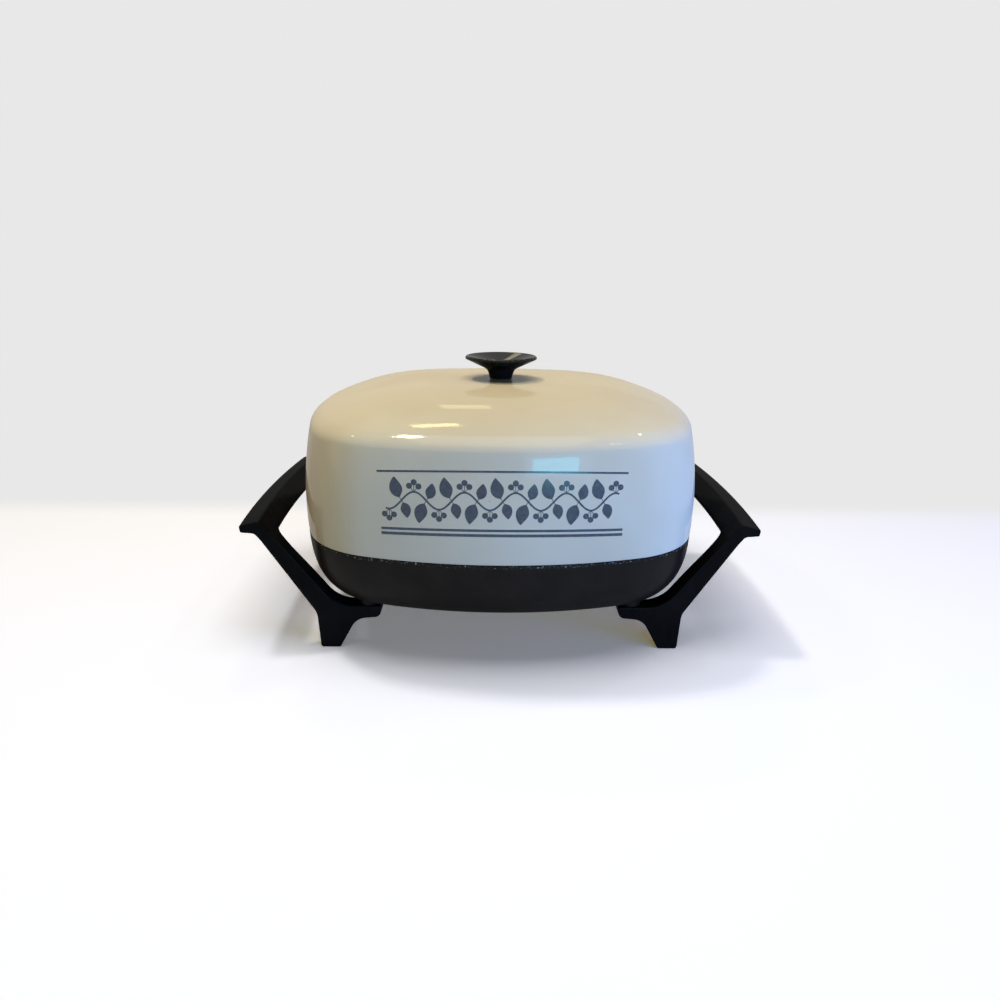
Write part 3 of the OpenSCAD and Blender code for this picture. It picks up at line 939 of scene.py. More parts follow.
@dataclass
class Handle:
    """One moulded handle: two arms that run down into the feet, and the grip between them.

    The mesh is a stack of rings along Y. Its outline at an arm holds the grip's
    section and the arm below it, and between the arms only the section stays.
    """

    finishes: Finishes
    side: Side
    face_y: float = 105.0
    arm_t: float = 16.0
    bow: float = 4.9
    edge: float = 1.0
    fillet: float = 10.0
    screw_at: Point2 = (98.5, 97.0)
    recess_r: float = 5.1
    recess_ends_z: Point2 = (10.0, 29.0)
    bow_fades_z: Point2 = (50.0, 84.0)
    fade_len: float = 5.0
    grip_steps: int = 10

    # Grip, in the plane of an arm's face: X, Z and the radius of each corner
    heel: Point3 = (174.1, 84.3, 3.0)
    inner: Point3 = (162.3, 84.7, 2.6)
    throat: Point3 = (178.8, 90.1, 4.5)
    lip_low: Point3 = (188.9, 90.9, 1.5)
    lip: Point3 = (189.7, 95.9, 1.5)
    crest: Point3 = (175.5, 99.5, 1.8)

    # Arm, tab and foot, from the grip's inner edge round to its heel
    tab_end_top: Point3 = (88.6, 34.0, 1.4)
    tab_root: Point3 = (122.1, 34.0, 26.0)
    arm_corners: tuple[Point3, ...] = (
        (89.4, 25.0, 5.0), (107.6, 23.4, 13.0), (120.35, 0.0, 2.0), (134.85, 0.0, 2.0),
        (136.75, 28.0, 14.0))

    def bow_at(self, y: float) -> float:
        """Give how far the grip stands out beyond its place at the arm's face."""
        radius = (self.face_y**2 + self.bow**2) / (2 * self.bow)
        return math.sqrt(radius**2 - y * y) - math.sqrt(radius**2 - self.face_y**2)

    def placed(self, point: Point2, y: float) -> Point3:
        """Give a point of the outline its bow, which fades down the arm, and its side.

        Args:
            point: X and Z in the plane of the arm's face.
            y: Distance along Y.

        Returns:
            The point in the model's frame.
        """
        x, z = point
        low, high = self.bow_fades_z
        share = smooth_step((z - low) / (high - low))
        return self.side.value * (x + self.bow_at(y) * share), y, z

    def section(self) -> tuple[list[Point2], list[Point2]]:
        """Give the grip's own section in two stretches.

        Returns:
            The stretch round the outside, from heel to inner edge, and the
            stretch along the bottom, from the inner edge back to the heel.
        """
        loop = rounded([self.throat, self.lip_low, self.lip, self.crest, self.inner, self.heel], 6)
        arc = 7
        outside = divided(loop[6 * arc - 1:] + loop[:4 * arc + 1], 5.0, closed=False)
        bottom = divided(loop[4 * arc:6 * arc], 4.0, closed=False)
        return outside, bottom

    def arm(self, start: Point2, end: Point2) -> list[Point2]:
        """Give the outline of an arm, from the grip's inner edge to its heel.

        Args:
            start: The grip's inner edge.
            end: The grip's heel.

        Returns:
            The outline from start to end.
        """
        corners = [(*start, 0.0), (self.inner[0] - 0.2, self.inner[1], 9.0),
                   self.tab_root, self.tab_end_top, *self.arm_corners,
                   (self.heel[0] + 0.3, self.heel[1] + 0.4, 9.0), (*end, 0.0)]
        closed = rounded(corners, 8)
        return divided(closed, 6.0, closed=False)

    @staticmethod
    def inset(points: Sequence[Point2], amounts: Sequence[float]) -> list[Point2]:
        """Move each point of a closed outline inward.

        Args:
            points: The outline.
            amounts: How far each point moves.

        Returns:
            The moved points.
        """
        count = len(points)
        area = sum(points[i][0] * points[(i + 1) % count][1] - points[(i + 1) % count][0] * points[i][1]
                   for i in range(count))
        way = 1 if area > 0 else -1
        moved = []
        for index, (x, y) in enumerate(points):
            a = Vector(points[index - 1])
            b = Vector(points[(index + 1) % count])
            along = (b - a).normalized()
            moved.append((x - way * along.y * amounts[index], y + way * along.x * amounts[index]))
        return moved

    @staticmethod
    def ways_from_grip(arm: Sequence[Point2]) -> list[float]:
        """Give how far the points of the arm's outline lie from the grip.

        Args:
            arm: The outline.

        Returns:
            The way along the outline to its nearer end, for each point between the ends.
        """
        steps = [(Vector(end) - Vector(start)).length for start, end in zip(arm, arm[1:])]
        ways = list(accumulate(steps))
        return [min(way, ways[-1] - way) for way in ways[:-1]]

    @staticmethod
    def point_along(path: Sequence[Point2], length: float) -> Vector:
        """Give the point at a distance along a path.

        Args:
            path: The path.
            length: The distance from its start.

        Returns:
            The point.
        """
        for start, end in zip(path, path[1:]):
            stretch = (Vector(end) - Vector(start)).length
            if length <= stretch:
                return Vector(start).lerp(Vector(end), length / stretch)
            length -= stretch
        return Vector(path[-1])

    def arm_rings(self, skin: Skin, loop: Sequence[Point2], fade: Sequence[float]) -> list[int]:
        """Skin an arm from its outer face to its inner one.

        Args:
            skin: The mesh that takes it.
            loop: The outline of the arm and the grip's end together.
            fade: How much of the inner face's rounded edge each point keeps.

        Returns:
            The numbers of the points on the inner face.
        """
        face, inside = self.face_y, self.face_y - self.arm_t

        def ring(amounts: Sequence[float], depths: Sequence[float]) -> list[int]:
            """Add one ring of the whole outline, each point at its own inset and depth."""
            moved = zip(self.inset(loop, amounts), depths)
            return skin.add(self.placed(point, -depth) for point, depth in moved)

        rows = [ring([self.edge * (1 - sin)] * len(loop), [face - self.edge * (1 - cos)] * len(loop))
                for cos, sin in quarter_arc(4)]
        rows.append(ring([0.0] * len(loop), [(face + inside) / 2] * len(loop)))
        rows += [ring([self.edge * share * (1 - cos) for share in fade],
                      [inside + self.edge * share * (1 - sin) for share in fade])
                 for cos, sin in quarter_arc(4)]
        for lower, upper in zip(rows, rows[1:]):
            skin.bridge(lower, upper)
        skin.faces.append(tuple(reversed(rows[0])))
        return rows[-1]

    def grip_rows(self, skin: Skin, outside: Sequence[Point2], bottom: Sequence[Point2],
                  arm: Sequence[Point2]) -> list[int]:
        """Skin the grip from the arm to the middle, with a fillet between its bottom and the arm.

        Args:
            skin: The mesh that takes it.
            outside: The outer stretch of the grip's section.
            bottom: The stretch along its bottom.
            arm: The arm's outline, down which the fillet sinks the bottom.

        Returns:
            The numbers of the points at the fillet's lower edge.
        """
        def row(y: float, drop: float) -> tuple[list[int], list[int]]:
            """Add one row of the grip, its bottom sunk by a drop along the arm.

            Args:
                y: Distance of the row from the middle.
                drop: The drop.

            Returns:
                The numbers of the outside's and the bottom's points.
            """
            outer = skin.add(self.placed(point, -y) for point in outside)
            at_inner = self.point_along(arm, drop) - Vector(bottom[0])
            at_heel = self.point_along(arm[::-1], drop) - Vector(bottom[-1])
            lower = [Vector(point) + at_inner.lerp(at_heel, index / (len(bottom) - 1))
                     for index, point in enumerate(bottom)]
            return outer, skin.add(self.placed(tuple(point), -y) for point in lower)

        inside, steps = self.face_y - self.arm_t, self.grip_steps
        rows = [row(inside - self.fillet * (1 - cos), self.fillet * (1 - sin))
                for cos, sin in quarter_arc(5)]
        rows += [row((inside - self.fillet) * (1 - step / steps), 0.0) for step in range(1, steps + 1)]
        for (outer, lower), (outer_next, lower_next) in zip(rows, rows[1:]):
            skin.bridge(outer, outer_next, closed=False)
            skin.bridge(lower, lower_next, closed=False)
            skin.faces.append((outer[-1], lower[0], lower_next[0], outer_next[-1]))
            skin.faces.append((lower[-1], outer[0], outer_next[0], lower_next[-1]))
        return rows[0][1]

    def half(self) -> Skin:
        """Build the half of the handle that lies at the front, open at the middle.

        Returns:
            The half's mesh under construction.
        """
        skin = Skin()
        outside, bottom = self.section()
        arm = self.arm(outside[-1], outside[0])
        ways, count = self.ways_from_grip(arm), len(outside)
        fade = [0.0] * count + [smooth_step((way - self.fillet) / self.fade_len) for way in ways]
        last = self.arm_rings(skin, outside + arm[1:-1], fade)
        fillet_row = self.grip_rows(skin, outside, bottom, arm)

        # Inner face of the arm, from its outline to the fillet's lower edge
        clear = [count + index for index, way in enumerate(ways) if way > self.fillet]
        before, after = last[count:clear[0]], last[clear[-1] + 1:]
        skin.faces.append((*[last[index] for index in clear], *reversed(fillet_row)))
        if before:
            skin.faces.append((last[count - 1], *before, last[clear[0]], fillet_row[0]))
        if after:
            skin.faces.append((last[clear[-1]], *after, last[0], fillet_row[-1]))
        return skin

    def build(self) -> None:
        """Build the whole handle from its front half, cut the screw recesses and dress it."""
        skin = self.half()
        count = len(skin.points)
        skin.points += [(x, -y, z) for x, y, z in skin.points]
        skin.faces += [tuple(index + count for index in reversed(face)) for face in skin.faces]
        node = f"{self.side.name.lower()}_handle"
        piece = skin.build(node + "_body", 40)
        x, y = self.screw_at
        low, high = self.recess_ends_z
        for sy in (-1, 1):
            cut = Skin()
            cut.lathe([(0.0, low), (self.recess_r, low), (self.recess_r, high), (0.0, high)], 40,
                      Matrix.Translation((self.side.value * x, sy * y, 0)))
            combine(piece, [cut.build("recess")], "DIFFERENCE", 40)
        weigh_normals(piece)
        dress(piece, self.finishes.phenolic, Body.BASE, "phenolic", node)


# ---- Lid --------------------------------------------------------------------


@dataclass
class Lid:
    """The drawn lid: hem, wall, shoulder and dome."""

    finishes: Finishes
    outline: BowedSquare
    low_z: float
    crown_z: float
    wall_h: float = 75.4
    metal: float = 1.6
    draft: float = 5.75
    widest_at: float = 0.2745
    shoulder: Point2 = (9.15, 10.0)
    shoulder_steps: int = 18
    flatness: float = 3.8
    hem_w: float = 2.6
    hem_h: float = 3.2
    hem_edge: float = 1.3

    @property
    def shoulder_z(self) -> float:
        """Give the height at which the shoulder starts."""
        return self.low_z + self.wall_h

    @property
    def shoulder_start(self) -> float:
        """Give the lean of the wall's top, from which the shoulder turns on."""
        return math.atan(2 * self.draft / ((1 - self.widest_at) * self.wall_h))

    @property
    def shoulder_curve(self) -> list[tuple[float, float, float]]:
        """Give the shoulder's inset, height and turn, step by step.

        It bends most where it leaves the wall and runs out almost straight into the dome.

        Returns:
            The inset, the height and the turn at each step.
        """
        width, height = self.shoulder
        start = self.shoulder_start
        swing = (math.atan2(width, height) - start) * 1.5
        count = self.shoulder_steps
        turns = [start + swing * (1 - (1 - step / count) ** 2) for step in range(count + 1)]
        inset, z, points = 0.0, 0.0, [(0.0, 0.0)]
        for before, after in zip(turns, turns[1:]):
            inset += math.sin((before + after) / 2)
            z += math.cos((before + after) / 2)
            points.append((inset, z))
        return [(self.draft + width * along / inset, self.shoulder_z + height * up / z, turn)
                for (along, up), turn in zip(points, turns)]

    @property
    def dome_z(self) -> float:
        """Give the height at which the dome starts."""
        return self.shoulder_z + self.shoulder[1]

    @property
    def dome_inset(self) -> float:
        """Give the inset at which the dome starts."""
        return self.draft + self.shoulder[0]

    def wall_inset(self, z: float) -> float:
        """Give the inset of the outside of the wall at a height."""
        share = (z - self.low_z) / self.wall_h
        return self.draft * ((share - self.widest_at) / (1 - self.widest_at)) ** 2

    def dome_height(self, share: float) -> float:
        """Give the height of the dome at a share of its width."""
        return self.dome_z + (self.crown_z - self.dome_z) * (1 - share**self.flatness)

    def dome_ring(self, share: float, depth: float) -> list[Point3]:
        """Give a ring of the dome, at a depth below its outside."""
        inset = self.dome_inset + depth * math.cos(self.shoulder_curve[-1][2])
        return self.outline.ring(inset, self.dome_height(share) - depth, share)

    def shoulder_rings(self, depth: float) -> list[list[Point3]]:
        """Give the shoulder's rings from the wall to the dome, at a depth below its outside."""
        return [self.outline.ring(inset + depth * math.cos(turn), z - depth * math.sin(turn))
                for inset, z, turn in self.shoulder_curve]

    def wall_ring(self, share: float, depth: float) -> list[Point3]:
        """Give a ring of the wall, at a depth inside its outside."""
        z = self.low_z + self.wall_h * share
        return self.outline.ring(self.wall_inset(z) + depth, z)

    def shell(self) -> Piece:
        """Build the lid's shell as one loft from the inside of the crown to its outside.

        Returns:
            The lid's shell.
        """
        skin = Skin()
        dome = [0.02, 0.06, 0.1, 0.16, 0.23, 0.3, 0.38, 0.46, 0.54, 0.62, 0.7, 0.77, 0.83, 0.88, 0.92, 0.96]
        rings = [self.dome_ring(share, self.metal) for share in dome]
        rings += reversed(self.shoulder_rings(self.metal))
        rings += [self.wall_ring(step / 14, self.metal) for step in range(13, 0, -1)]
        hem_top = self.low_z + self.hem_h
        rings += [self.outline.ring(self.wall_inset(hem_top) + self.metal, hem_top + 0.8),
                  self.outline.ring(self.hem_w - 0.15, hem_top + 0.25),
                  self.outline.ring(self.hem_w, hem_top - 0.4),
                  self.outline.ring(self.hem_w, self.low_z + self.hem_edge * 0.8)]
        middle = (self.hem_w + self.wall_inset(self.low_z)) / 2
        half = (self.hem_w - self.wall_inset(self.low_z)) / 2
        rings += [self.outline.ring(middle + half * math.cos(turn),
                                    self.low_z + half - half * math.sin(turn))
                  for turn in (0.2, 0.6, 1.0, QUARTER, math.pi - 1.0, math.pi - 0.6, math.pi - 0.2)]
        rings += [self.wall_ring(share, 0.0)
                  for share in [0.02, 0.05] + [step / 16 for step in range(2, 17)]]
        rings += self.shoulder_rings(0.0)[1:]
        rings += [self.dome_ring(share, 0.0) for share in reversed([0.02, 0.06, 0.1, 0.14, 0.18] + [
            0.22 + 0.04 * step for step in range(15)] + [0.83, 0.86, 0.89, 0.92, 0.95, 0.975])]
        skin.loft(rings)
        return skin.build("lid_body", 60)

    def front_point(self, x: float, z: float, lift: float) -> Point3:
        """Give a point on the lid's printed front.

        Args:
            x: Distance right of the middle.
            z: Height above the table.
            lift: Height above the enamel.

        Returns:
            The point.
        """
        return x, self.outline.front_y(x, self.wall_inset(z)) - lift, z

    def build(self) -> None:
        """Build the lid and dress it."""
        dress(self.shell(), self.finishes.enamel, Body.LID, "lid_enamel", "lid_shell")


@dataclass
class PrintBand:
    """The printed band: a running vine with alternate leaves and berries between plain stripes.

    Everything is drawn with ribbons, a middle line with a half width at each
    point, laid on the lid's front as thin raised ink.
    """

    finishes: Finishes
    lid: Lid
    half_w: float = 83.5
    stripe_lines: tuple[tuple[float, float, float, float], ...] = (
        (147.7, 3.1, 0.65, 83.5), (109.4, 2.2, 0.85, 81.0), (106.0, 2.2, 1.0, 81.0))
    vine_z: float = 128.6
    vine_rise: float = 2.7
    vine_swing: float = 5.8
    waves: int = 5
    ink_t: float = 0.07
    vine_half: float = 0.6
    stalk_half: float = 0.22
    big_leaf: Point2 = (16.5, 8.2)
    small_leaf: Point2 = (12.5, 6.4)
    leaf_lean: float = 36.0
    leaf_curl: float = 34.0
    berry_r: float = 2.0
    berry_spread: float = 40.0
    stalks: tuple[float, float, float] = (3.2, 4.6, 3.2)

    def ribbon(self, skin: Skin, line: Sequence[Point2], half_widths: Sequence[float]) -> None:
        """Lay one ribbon on the lid.

        Args:
            skin: The mesh that takes it.
            line: The ribbon's middle line, as X and Z.
            half_widths: Half its width at each point.
        """
        rows = []
        last = len(line) - 1
        for index, (point, half) in enumerate(zip(line, half_widths)):
            a, b = Vector(line[max(0, index - 1)]), Vector(line[min(last, index + 1)])
            along = (b - a).normalized()
            across = Vector((-along.y, along.x)) * max(half, 0.06)
            here = Vector(point)
            left, right = here + across, here - across
            rows.append(skin.add([
                self.lid.front_point(left.x, left.y, self.ink_t),
                self.lid.front_point(right.x, right.y, self.ink_t),
                self.lid.front_point(right.x, right.y, -self.ink_t),
                self.lid.front_point(left.x, left.y, -self.ink_t)]))
        for lower, upper in zip(rows, rows[1:]):
            skin.bridge(lower, upper)
        skin.faces.append(tuple(reversed(rows[0])))
        skin.faces.append(tuple(rows[-1]))

    def vine_at(self, x: float) -> Point2:
        """Give the vine's point at one X.

        Args:
            x: Distance right of the middle.

        Returns:
            The point's X and Z.
        """
        share = x / self.half_w
        arch = self.vine_rise * (1 - share * share)
        return x, self.vine_z + arch + self.vine_swing * math.sin(math.pi * self.waves * share)

    def stripes(self) -> Piece:
        """Draw the plain stripes above and below.

        Returns:
            The stripes, as one piece.
        """
        skin = Skin()
        for z, rise, half, reach in self.stripe_lines:
            shares = [step / 40 - 1 for step in range(81)]
            line = [(reach * share, z + rise * (1 - share * share)) for share in shares]
            self.ribbon(skin, line, [half] * len(line))
        return skin.build("print_stripes", 60)

    def leaf(self, skin: Skin, root: Point2, angle: float, length: float, width: float,
             curl: float) -> None:
        """Draw one pointed leaf.

        Args:
            skin: The mesh that takes it.
            root: Where it springs from.
            angle: Its direction at the root.
            length: Its length.
            width: Its width at the widest.
            curl: The angle through which it bends.
        """
        steps = 14
        x, z = root
        thin = self.stalk_half
        line, halves = [(x, z)], [thin]
        for step in range(1, steps + 1):
            share = step / steps
            turn = angle + curl * share
            x += length / steps * math.cos(turn)
            z += length / steps * math.sin(turn)
            line.append((x, z))
            body = max(0.0, (share - 0.16) / 0.84)
            halves.append(thin + width / 2 * math.sin(math.pi * body**0.8) ** 0.9 if body > 0 else thin)
        halves[-1] = 0.08
        self.ribbon(skin, line, halves)

    def berry(self, skin: Skin, root: Point2, angle: float, stalk: float, radius: float) -> None:
        """Draw one round berry on its stalk.

        Args:
            skin: The mesh that takes it.
            root: Where its stalk springs from.
            angle: The stalk's direction.
            stalk: The stalk's length.
            radius: The berry's radius.
        """
        x, z = root
        tip = (x + stalk * math.cos(angle), z + stalk * math.sin(angle))
        self.ribbon(skin, [root, tip], [self.stalk_half] * 2)
        steps = 12
        line, halves = [], []
        for step in range(steps + 1):
            share = -math.cos(math.pi * step / steps)
            reach = stalk + radius * (1 + share) - 0.3
            line.append((x + reach * math.cos(angle), z + reach * math.sin(angle)))
            halves.append(radius * math.sqrt(max(0.0, 1 - share * share)))
        self.ribbon(skin, line, halves)

    def vine(self) -> Piece:
        """Draw the vine, its leaves and its berries.

        Returns:
            The vine, as one piece.
        """
        skin = Skin()
        reach = self.half_w - 6
        line = [self.vine_at(reach * (step / 120 - 1)) for step in range(241)]
        self.ribbon(skin, line, [self.vine_half] * len(line))
        pitch = self.half_w / self.waves
        for index in range(-2 * self.waves + 1, 2 * self.waves):
            x = index * pitch / 2
            if abs(x) > reach - 2:
                continue
            root = self.vine_at(x)
            if index % 2 == 0:
                way = 1 if index % 4 == 0 else -1
                above, below = (self.big_leaf, self.small_leaf)[::way]
                lean, curl = math.radians(90 + way * self.leaf_lean), -way * math.radians(self.leaf_curl)
                self.leaf(skin, root, lean, *above, curl)
                self.leaf(skin, root, lean + math.pi, *below, curl)
            else:
                crest = 1 if index % 4 in (1, -3) else -1
                for share, stalk in zip((-1, 0, 1), self.stalks):
                    angle = math.radians(crest * 90 + share * self.berry_spread)
                    self.berry(skin, root, angle, stalk, self.berry_r)
        return skin.build("print_vine", 60)

    def build(self) -> None:
        """Build the print and dress it."""
        for piece in (self.stripes(), self.vine()):
            dress(piece, self.finishes.ink, Body.LID, "lid_enamel")


# ---- Knob -------------------------------------------------------------------


@dataclass
class Knob:
    """The trumpet knob with its dished top and fluted rim."""

    finishes: Finishes
    foot_z: float
    rim_r: float = 29.1
    foot_r: float = 9.2
    height: float = 18.0
    neck_share: float = 0.42
    neck_spread: float = 2.5
    rim_band: float = 2.7
    dish: float = 7.0
    dish_power: float = 1.15
    flutes: int = 36
    flute_depth: float = 0.34
    steps: int = 216
    bore_r: float = 3.7
    bore_depth: float = 9.4
    rim_curve: tuple[Point2, ...] = (
        (0.55, 2.52), (0.22, 2.22), (0.05, 1.84), (0.0, 1.5), (0.06, 1.36), (0.2, 0.95), (0.42, 0.6),
        (0.7, 0.31), (1.03, 0.12), (1.4, 0.02), (1.7, 0.04))

    def neck(self, share: float) -> Vector:
        """Give a point of the neck, which leans out slowly."""
        return Vector((self.foot_r + self.neck_spread * share**1.6, self.height * self.neck_share * share))

    def outside(self) -> list[Point2]:
        """Give the outside from the foot up the neck and along the flare to the rim's band.

        Returns:
            Radius and height of each point.
        """
        points = [tuple(self.neck(share)) for share in [0.08 + 0.07 * step for step in range(11)]]
        start, bend = self.neck(0.82), self.neck(1.0)
        end = Vector((self.rim_r - 1.0, self.height - self.rim_band))
        turned = bend.lerp(end, 0.14)
        for step in range(1, 7):
            share = step / 6
            points.append(tuple(start.lerp(bend, share).lerp(bend.lerp(turned, share), share)))
        points += [tuple(turned.lerp(end, step / 12)) for step in range(1, 13)]
        return points

    def build(self) -> None:
        """Turn the knob, flute its rim and dress it."""
        top, rim, foot, bore = self.height, self.rim_r, self.foot_r, self.bore_r
        profile: list[Point2] = [(0.0, self.bore_depth), (bore, self.bore_depth), (bore, 0.0),
                                 (foot - 0.6, 0.0), (foot - 0.15, 0.15), (foot, 0.5)]
        profile += self.outside()
        profile += [(rim - inset, top - drop) for inset, drop in self.rim_curve]
        for step in range(1, 25):
            share = 1 - step / 24
            profile.append(((rim - 1.9) * share, top - 0.12 - self.dish * (1 - share**self.dish_power)))
        skin = Skin()
        skin.lathe(profile, self.steps, Matrix.Translation((0, 0, self.foot_z)))
        fluted = []
        for x, y, z in skin.points:
            radius = math.hypot(x, y)
            near_rim = smooth_step((radius - self.rim_r + 2.4) / 2.0)
            wave = 0.5 - 0.5 * math.cos(self.flutes * math.atan2(y, x))
            scale = 1 - near_rim * self.flute_depth * wave**2 / max(radius, 1.0)
            fluted.append((x * scale, y * scale, z))
        skin.points = fluted
        dress(skin.build("knob_body", 50), self.finishes.polished, Body.LID, "phenolic", "knob")


# ---- Studio -----------------------------------------------------------------


@dataclass(frozen=True)
class Softbox:
    """One soft lamp, placed by the direction in which it is seen from the object.

    The azimuth is 0 at the front and grows to the right. The level is the
    brightness that it gives to a white surface that faces it. A fill lamp is
    one that doesn't show in reflections.
    """

    name: str
    azimuth: float
    elevation: float
    size: Point2
    level: float
    colour: Rgb
    distance: float = 1600.0
    aim: Point3 = (0.0, 0.0, 120.0)
    fill: bool = False


@dataclass
class Studio:
    """Floor, lamps, world and camera."""

    focal_px: float = 793.4
    image_px: float = 1000.0
    sensor: float = 36.0
    camera_at: Point3 = (0.59, -649.1, 282.5)
    pitch: float = 0.2946
    roll: float = 0.0129
    yaw: float = -0.0159
    backdrop: Rgb = srgb(232, 232, 232)
    paper_white: Rgb = (1.07, 1.13, 1.4)
    paper_lift: Rgb = (0.16, 0.13, 0.05)
    bounce: Rgb = (0.34, 0.34, 0.34)
    white_ends_y: Point2 = (205.0, 285.0)
    white_ends_r: Point2 = (600.0, 1150.0)
    floor_r: float = 60000.0
    fill: Rgb = (1.0, 0.97, 0.95)
    fill_level: float = 0.04
    lamps: tuple[Softbox, ...] = (
        Softbox("ceiling_softbox", 0.0, 80.0, (1300.0, 1300.0), 0.56, (1.0, 0.94, 0.79), 1800.0),
        Softbox("overhead_softbox", -122.0, 70.8, (240.0, 170.0), 0.26, (1.0, 0.92, 0.76), 1800.0,
                (-63.0, -137.0, 170.0)),
        Softbox("rear_spot", -168.2, 50.9, (200.0, 85.0), 0.042, (1.0, 0.82, 0.36),
                aim=(-45.0, -126.0, 176.0)),
        Softbox("low_rear_spot", -175.1, 32.8, (180.0, 140.0), 0.01, (1.0, 0.86, 0.45),
                aim=(12.7, 18.6, 206.0)),
        Softbox("left_spot", -105.0, 53.0, (170.0, 80.0), 0.035, (1.0, 0.95, 0.85),
                aim=(-99.0, -128.0, 168.0)),
        Softbox("right_rear_spot", 126.5, 58.0, (140.0, 60.0), 0.024, (1.0, 0.96, 0.9),
                aim=(91.0, -127.5, 171.0)),
        Softbox("right_spot", 62.5, 58.0, (140.0, 40.0), 0.02, (1.0, 0.96, 0.9), aim=(73.0, -138.4, 166.8)),
        Softbox("window_softbox", 18.0, 6.5, (430.0, 165.0), 0.17, (0.01, 0.7, 1.0), 1500.0,
                (32.0, -149.5, 157.0)),
        Softbox("window_glow", 19.0, 6.8, (620.0, 270.0), 0.07, (0.35, 0.75, 1.0), 1500.0,
                (32.0, -149.5, 157.0)),
        Softbox("room_softbox", -80.0, 4.0, (500.0, 300.0), 0.03, (1.0, 0.78, 0.55), 1500.0),
        Softbox("side_window_fill", 80.0, -0.8, (1000.0, 190.0), 0.33, (0.36, 0.42, 1.0), 1500.0,
                fill=True),
        Softbox("front_window_fill", 50.0, -0.8, (800.0, 190.0), 0.86, (0.12, 0.31, 1.0), 1500.0,
                fill=True),
        Softbox("room_fill", 4.0, -0.8, (900.0, 190.0), 0.1, (1.0, 0.5, 0.1), 1500.0, fill=True),
    )

    def camera(self) -> None:
        """Place the camera at the photograph's viewing angle."""
        data = bpy.data.cameras.new("camera")
        data.sensor_width = self.sensor
        data.lens = self.sensor * self.focal_px / self.image_px
        data.clip_start, data.clip_end = 0.01, 50
        eye = bpy.data.objects.new("camera", data)
        bpy.context.scene.collection.objects.link(eye)
        about = Matrix.Rotation(self.yaw, 4, "Z")
        place = about @ Matrix.Translation(Vector(self.camera_at) * MM)
        tilt = Matrix.Rotation(math.pi / 2 - self.pitch, 4, "X") @ Matrix.Rotation(self.roll, 4, "Z")
        eye.matrix_world = place @ tilt
        bpy.context.scene.camera = eye

    def paper(self) -> Material:
        """Make the floor's material: white paper that turns pale grey behind the object.

        The camera and reflections see it brighter than it lights the object. Its
        far part has the colour of the surroundings, so that no horizon shows.

        Returns:
            The floor's material.
        """
        material = bpy.data.materials.new("studio_paper")
        material.use_nodes = True
        tree = material.node_tree
        tree.nodes.clear()
        place = add_node(tree, "TexCoord").outputs["Object"]
        y = add_node(tree, "SeparateXYZ", {"Vector": place}).outputs["Y"]
        reach = add_node(tree, "VectorMath", {0: place}, operation="LENGTH").outputs["Value"]
        fades: Inputs = {}
        for number, (source, ends) in enumerate(((y, self.white_ends_y), (reach, self.white_ends_r))):
            inputs = {"Value": source, "From Min": ends[0] * MM, "From Max": ends[1] * MM}
            fade = add_node(tree, "MapRange", inputs, interpolation_type="SMOOTHSTEP")
            fades[number] = fade.outputs["Result"]
        far = add_node(tree, "Math", fades, operation="MAXIMUM").outputs["Value"]
        bounce = add_node(tree, "BsdfDiffuse", {"Color": (*self.bounce, 1)}).outputs[0]
        lit = add_node(tree, "BsdfDiffuse", {"Color": (*self.paper_white, 1)}).outputs[0]
        lift = add_node(tree, "Emission", {"Color": (*self.paper_lift, 1)}).outputs[0]
        backdrop = add_node(tree, "Emission", {"Color": (*self.backdrop, 1)}).outputs[0]
        near = add_node(tree, "AddShader", {0: lit, 1: lift}).outputs[0]
        whole = add_node(tree, "MixShader", {"Fac": far, 1: near, 2: backdrop}).outputs[0]
        shown = add_node(tree, "MixShader", {"Fac": self.is_seen(tree), 1: bounce, 2: whole}).outputs[0]
        add_node(tree, "OutputMaterial", {"Surface": shown})
        return material

    @staticmethod
    def is_seen(tree: bpy.types.NodeTree) -> Socket:
        """Add nodes that give 1 for rays from the camera, a reflection or glass.

        Args:
            tree: The node tree that takes them.

        Returns:
            The socket that gives it.
        """
        path = add_node(tree, "LightPath").outputs
        total = path["Is Camera Ray"]
        for name in ("Is Glossy Ray", "Is Transmission Ray"):
            total = add_node(tree, "Math", {0: total, 1: path[name]}, operation="MAXIMUM").outputs["Value"]
        return total

    def floor(self) -> None:
        """Lay the floor, a disc so wide that its edge is out of sight."""
        skin = Skin()
        ring = [(self.floor_r * math.cos(turn), self.floor_r * math.sin(turn), 0.0)
                for turn in [2 * math.pi * step / 96 for step in range(96)]]
        skin.faces.append(tuple(skin.add(ring)))
        floor = skin.build("studio_floor")
        floor.data.materials.append(self.paper())

    @staticmethod
    def hang(lamp: Softbox) -> None:
        """Hang one softbox out of the camera's sight.

        Args:
            lamp: The softbox.
        """
        data = bpy.data.lights.new(lamp.name, "AREA")
        data.shape = "RECTANGLE"
        data.size, data.size_y = lamp.size[0] * MM, lamp.size[1] * MM
        data.energy = lamp.level * (math.pi * lamp.distance * MM) ** 2
        data.color = lamp.colour
        turn, rise = math.radians(lamp.azimuth), math.radians(lamp.elevation)
        way = Vector((math.sin(turn) * math.cos(rise), -math.cos(turn) * math.cos(rise), math.sin(rise)))
        piece = bpy.data.objects.new(lamp.name, data)
        piece.location = (Vector(lamp.aim) + way * lamp.distance) * MM
        piece.rotation_euler = way.to_track_quat("Z", "Y").to_euler()
        piece.visible_camera = False
        piece.visible_glossy = not lamp.fill
        bpy.context.scene.collection.objects.link(piece)

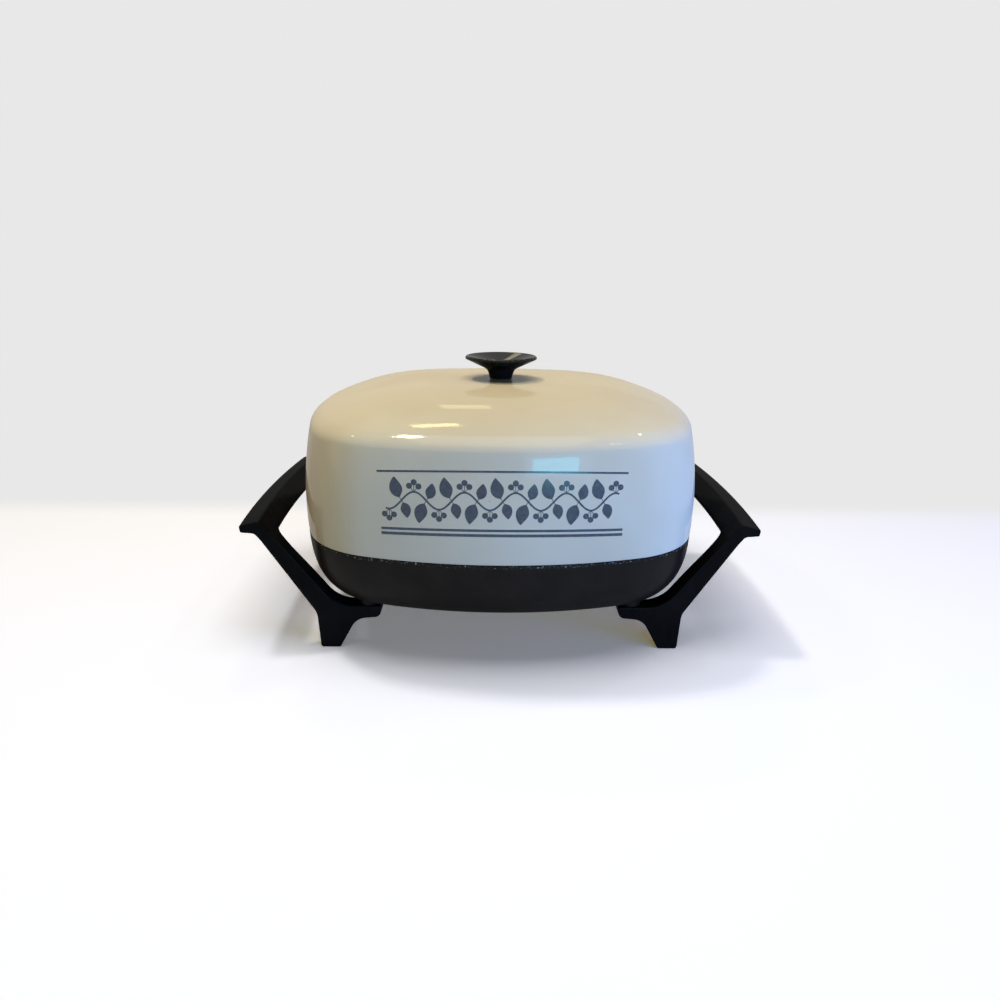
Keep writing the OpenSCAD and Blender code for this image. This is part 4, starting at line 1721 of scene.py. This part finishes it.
    def world(self) -> None:
        """Fill the surroundings with a plain light and the backdrop's grey."""
        world = bpy.data.worlds.new("studio")
        world.use_nodes = True
        tree = world.node_tree
        fill = tree.nodes["Background"]
        fill.inputs["Color"].default_value = (*self.fill, 1)
        fill.inputs["Strength"].default_value = self.fill_level
        backdrop = add_node(tree, "Background", {"Color": (*self.backdrop, 1)}).outputs[0]
        inputs = {"Fac": self.is_seen(tree), 1: fill.outputs[0], 2: backdrop}
        shown = add_node(tree, "MixShader", inputs).outputs[0]
        tree.links.new(shown, tree.nodes["World Output"].inputs["Surface"])
        bpy.context.scene.world = world

    def build(self) -> None:
        """Set up the whole studio."""
        scene = bpy.context.scene
        scene.view_settings.view_transform = "Standard"
        self.camera()
        self.floor()
        self.world()
        for lamp in self.lamps:
            self.hang(lamp)


# ---- The whole object -------------------------------------------------------


def paint_small_parts(finishes: Finishes) -> None:
    """Give every CAD node that stays in view its finish."""
    finish_of: dict[str, Material] = {
        "heating_element": finishes.sheath,
        "front_terminal_pin": finishes.plated,
        "rear_terminal_pin": finishes.plated,
        "probe_tube": finishes.plated,
        "front_pin_insulator": finishes.ceramic,
        "rear_pin_insulator": finishes.ceramic,
        "terminal_guard": finishes.guard,
        "guard_screws": finishes.zinc,
        "left_handle_screws": finishes.zinc,
        "right_handle_screws": finishes.zinc,
        "left_handle_washers": finishes.zinc,
        "right_handle_washers": finishes.zinc,
        "knob_insert": finishes.brass,
        "knob_screw": finishes.zinc,
        "knob_washer": finishes.zinc,
        "knob_seat": finishes.fibre,
    }
    for node, material in finish_of.items():
        paint_node(node, material)


def main() -> None:
    """Build the studio and every sub-assembly."""
    logging.basicConfig(level=logging.INFO, format="%(name)s: %(message)s")
    Studio().build()
    finishes = Finishes()
    lid_low, lid_high = cad_box("lid_shell")
    outline = BowedSquare(half=lid_high.x)
    Pan(finishes, outline).build()
    for side in Side:
        Handle(finishes, side).build()
    lid = Lid(finishes, outline, low_z=lid_low.z, crown_z=lid_high.z)
    lid.build()
    PrintBand(finishes, lid).build()
    Knob(finishes, foot_z=cad_box("knob")[0].z).build()
    paint_small_parts(finishes)


if __name__ == "__main__":
    main()
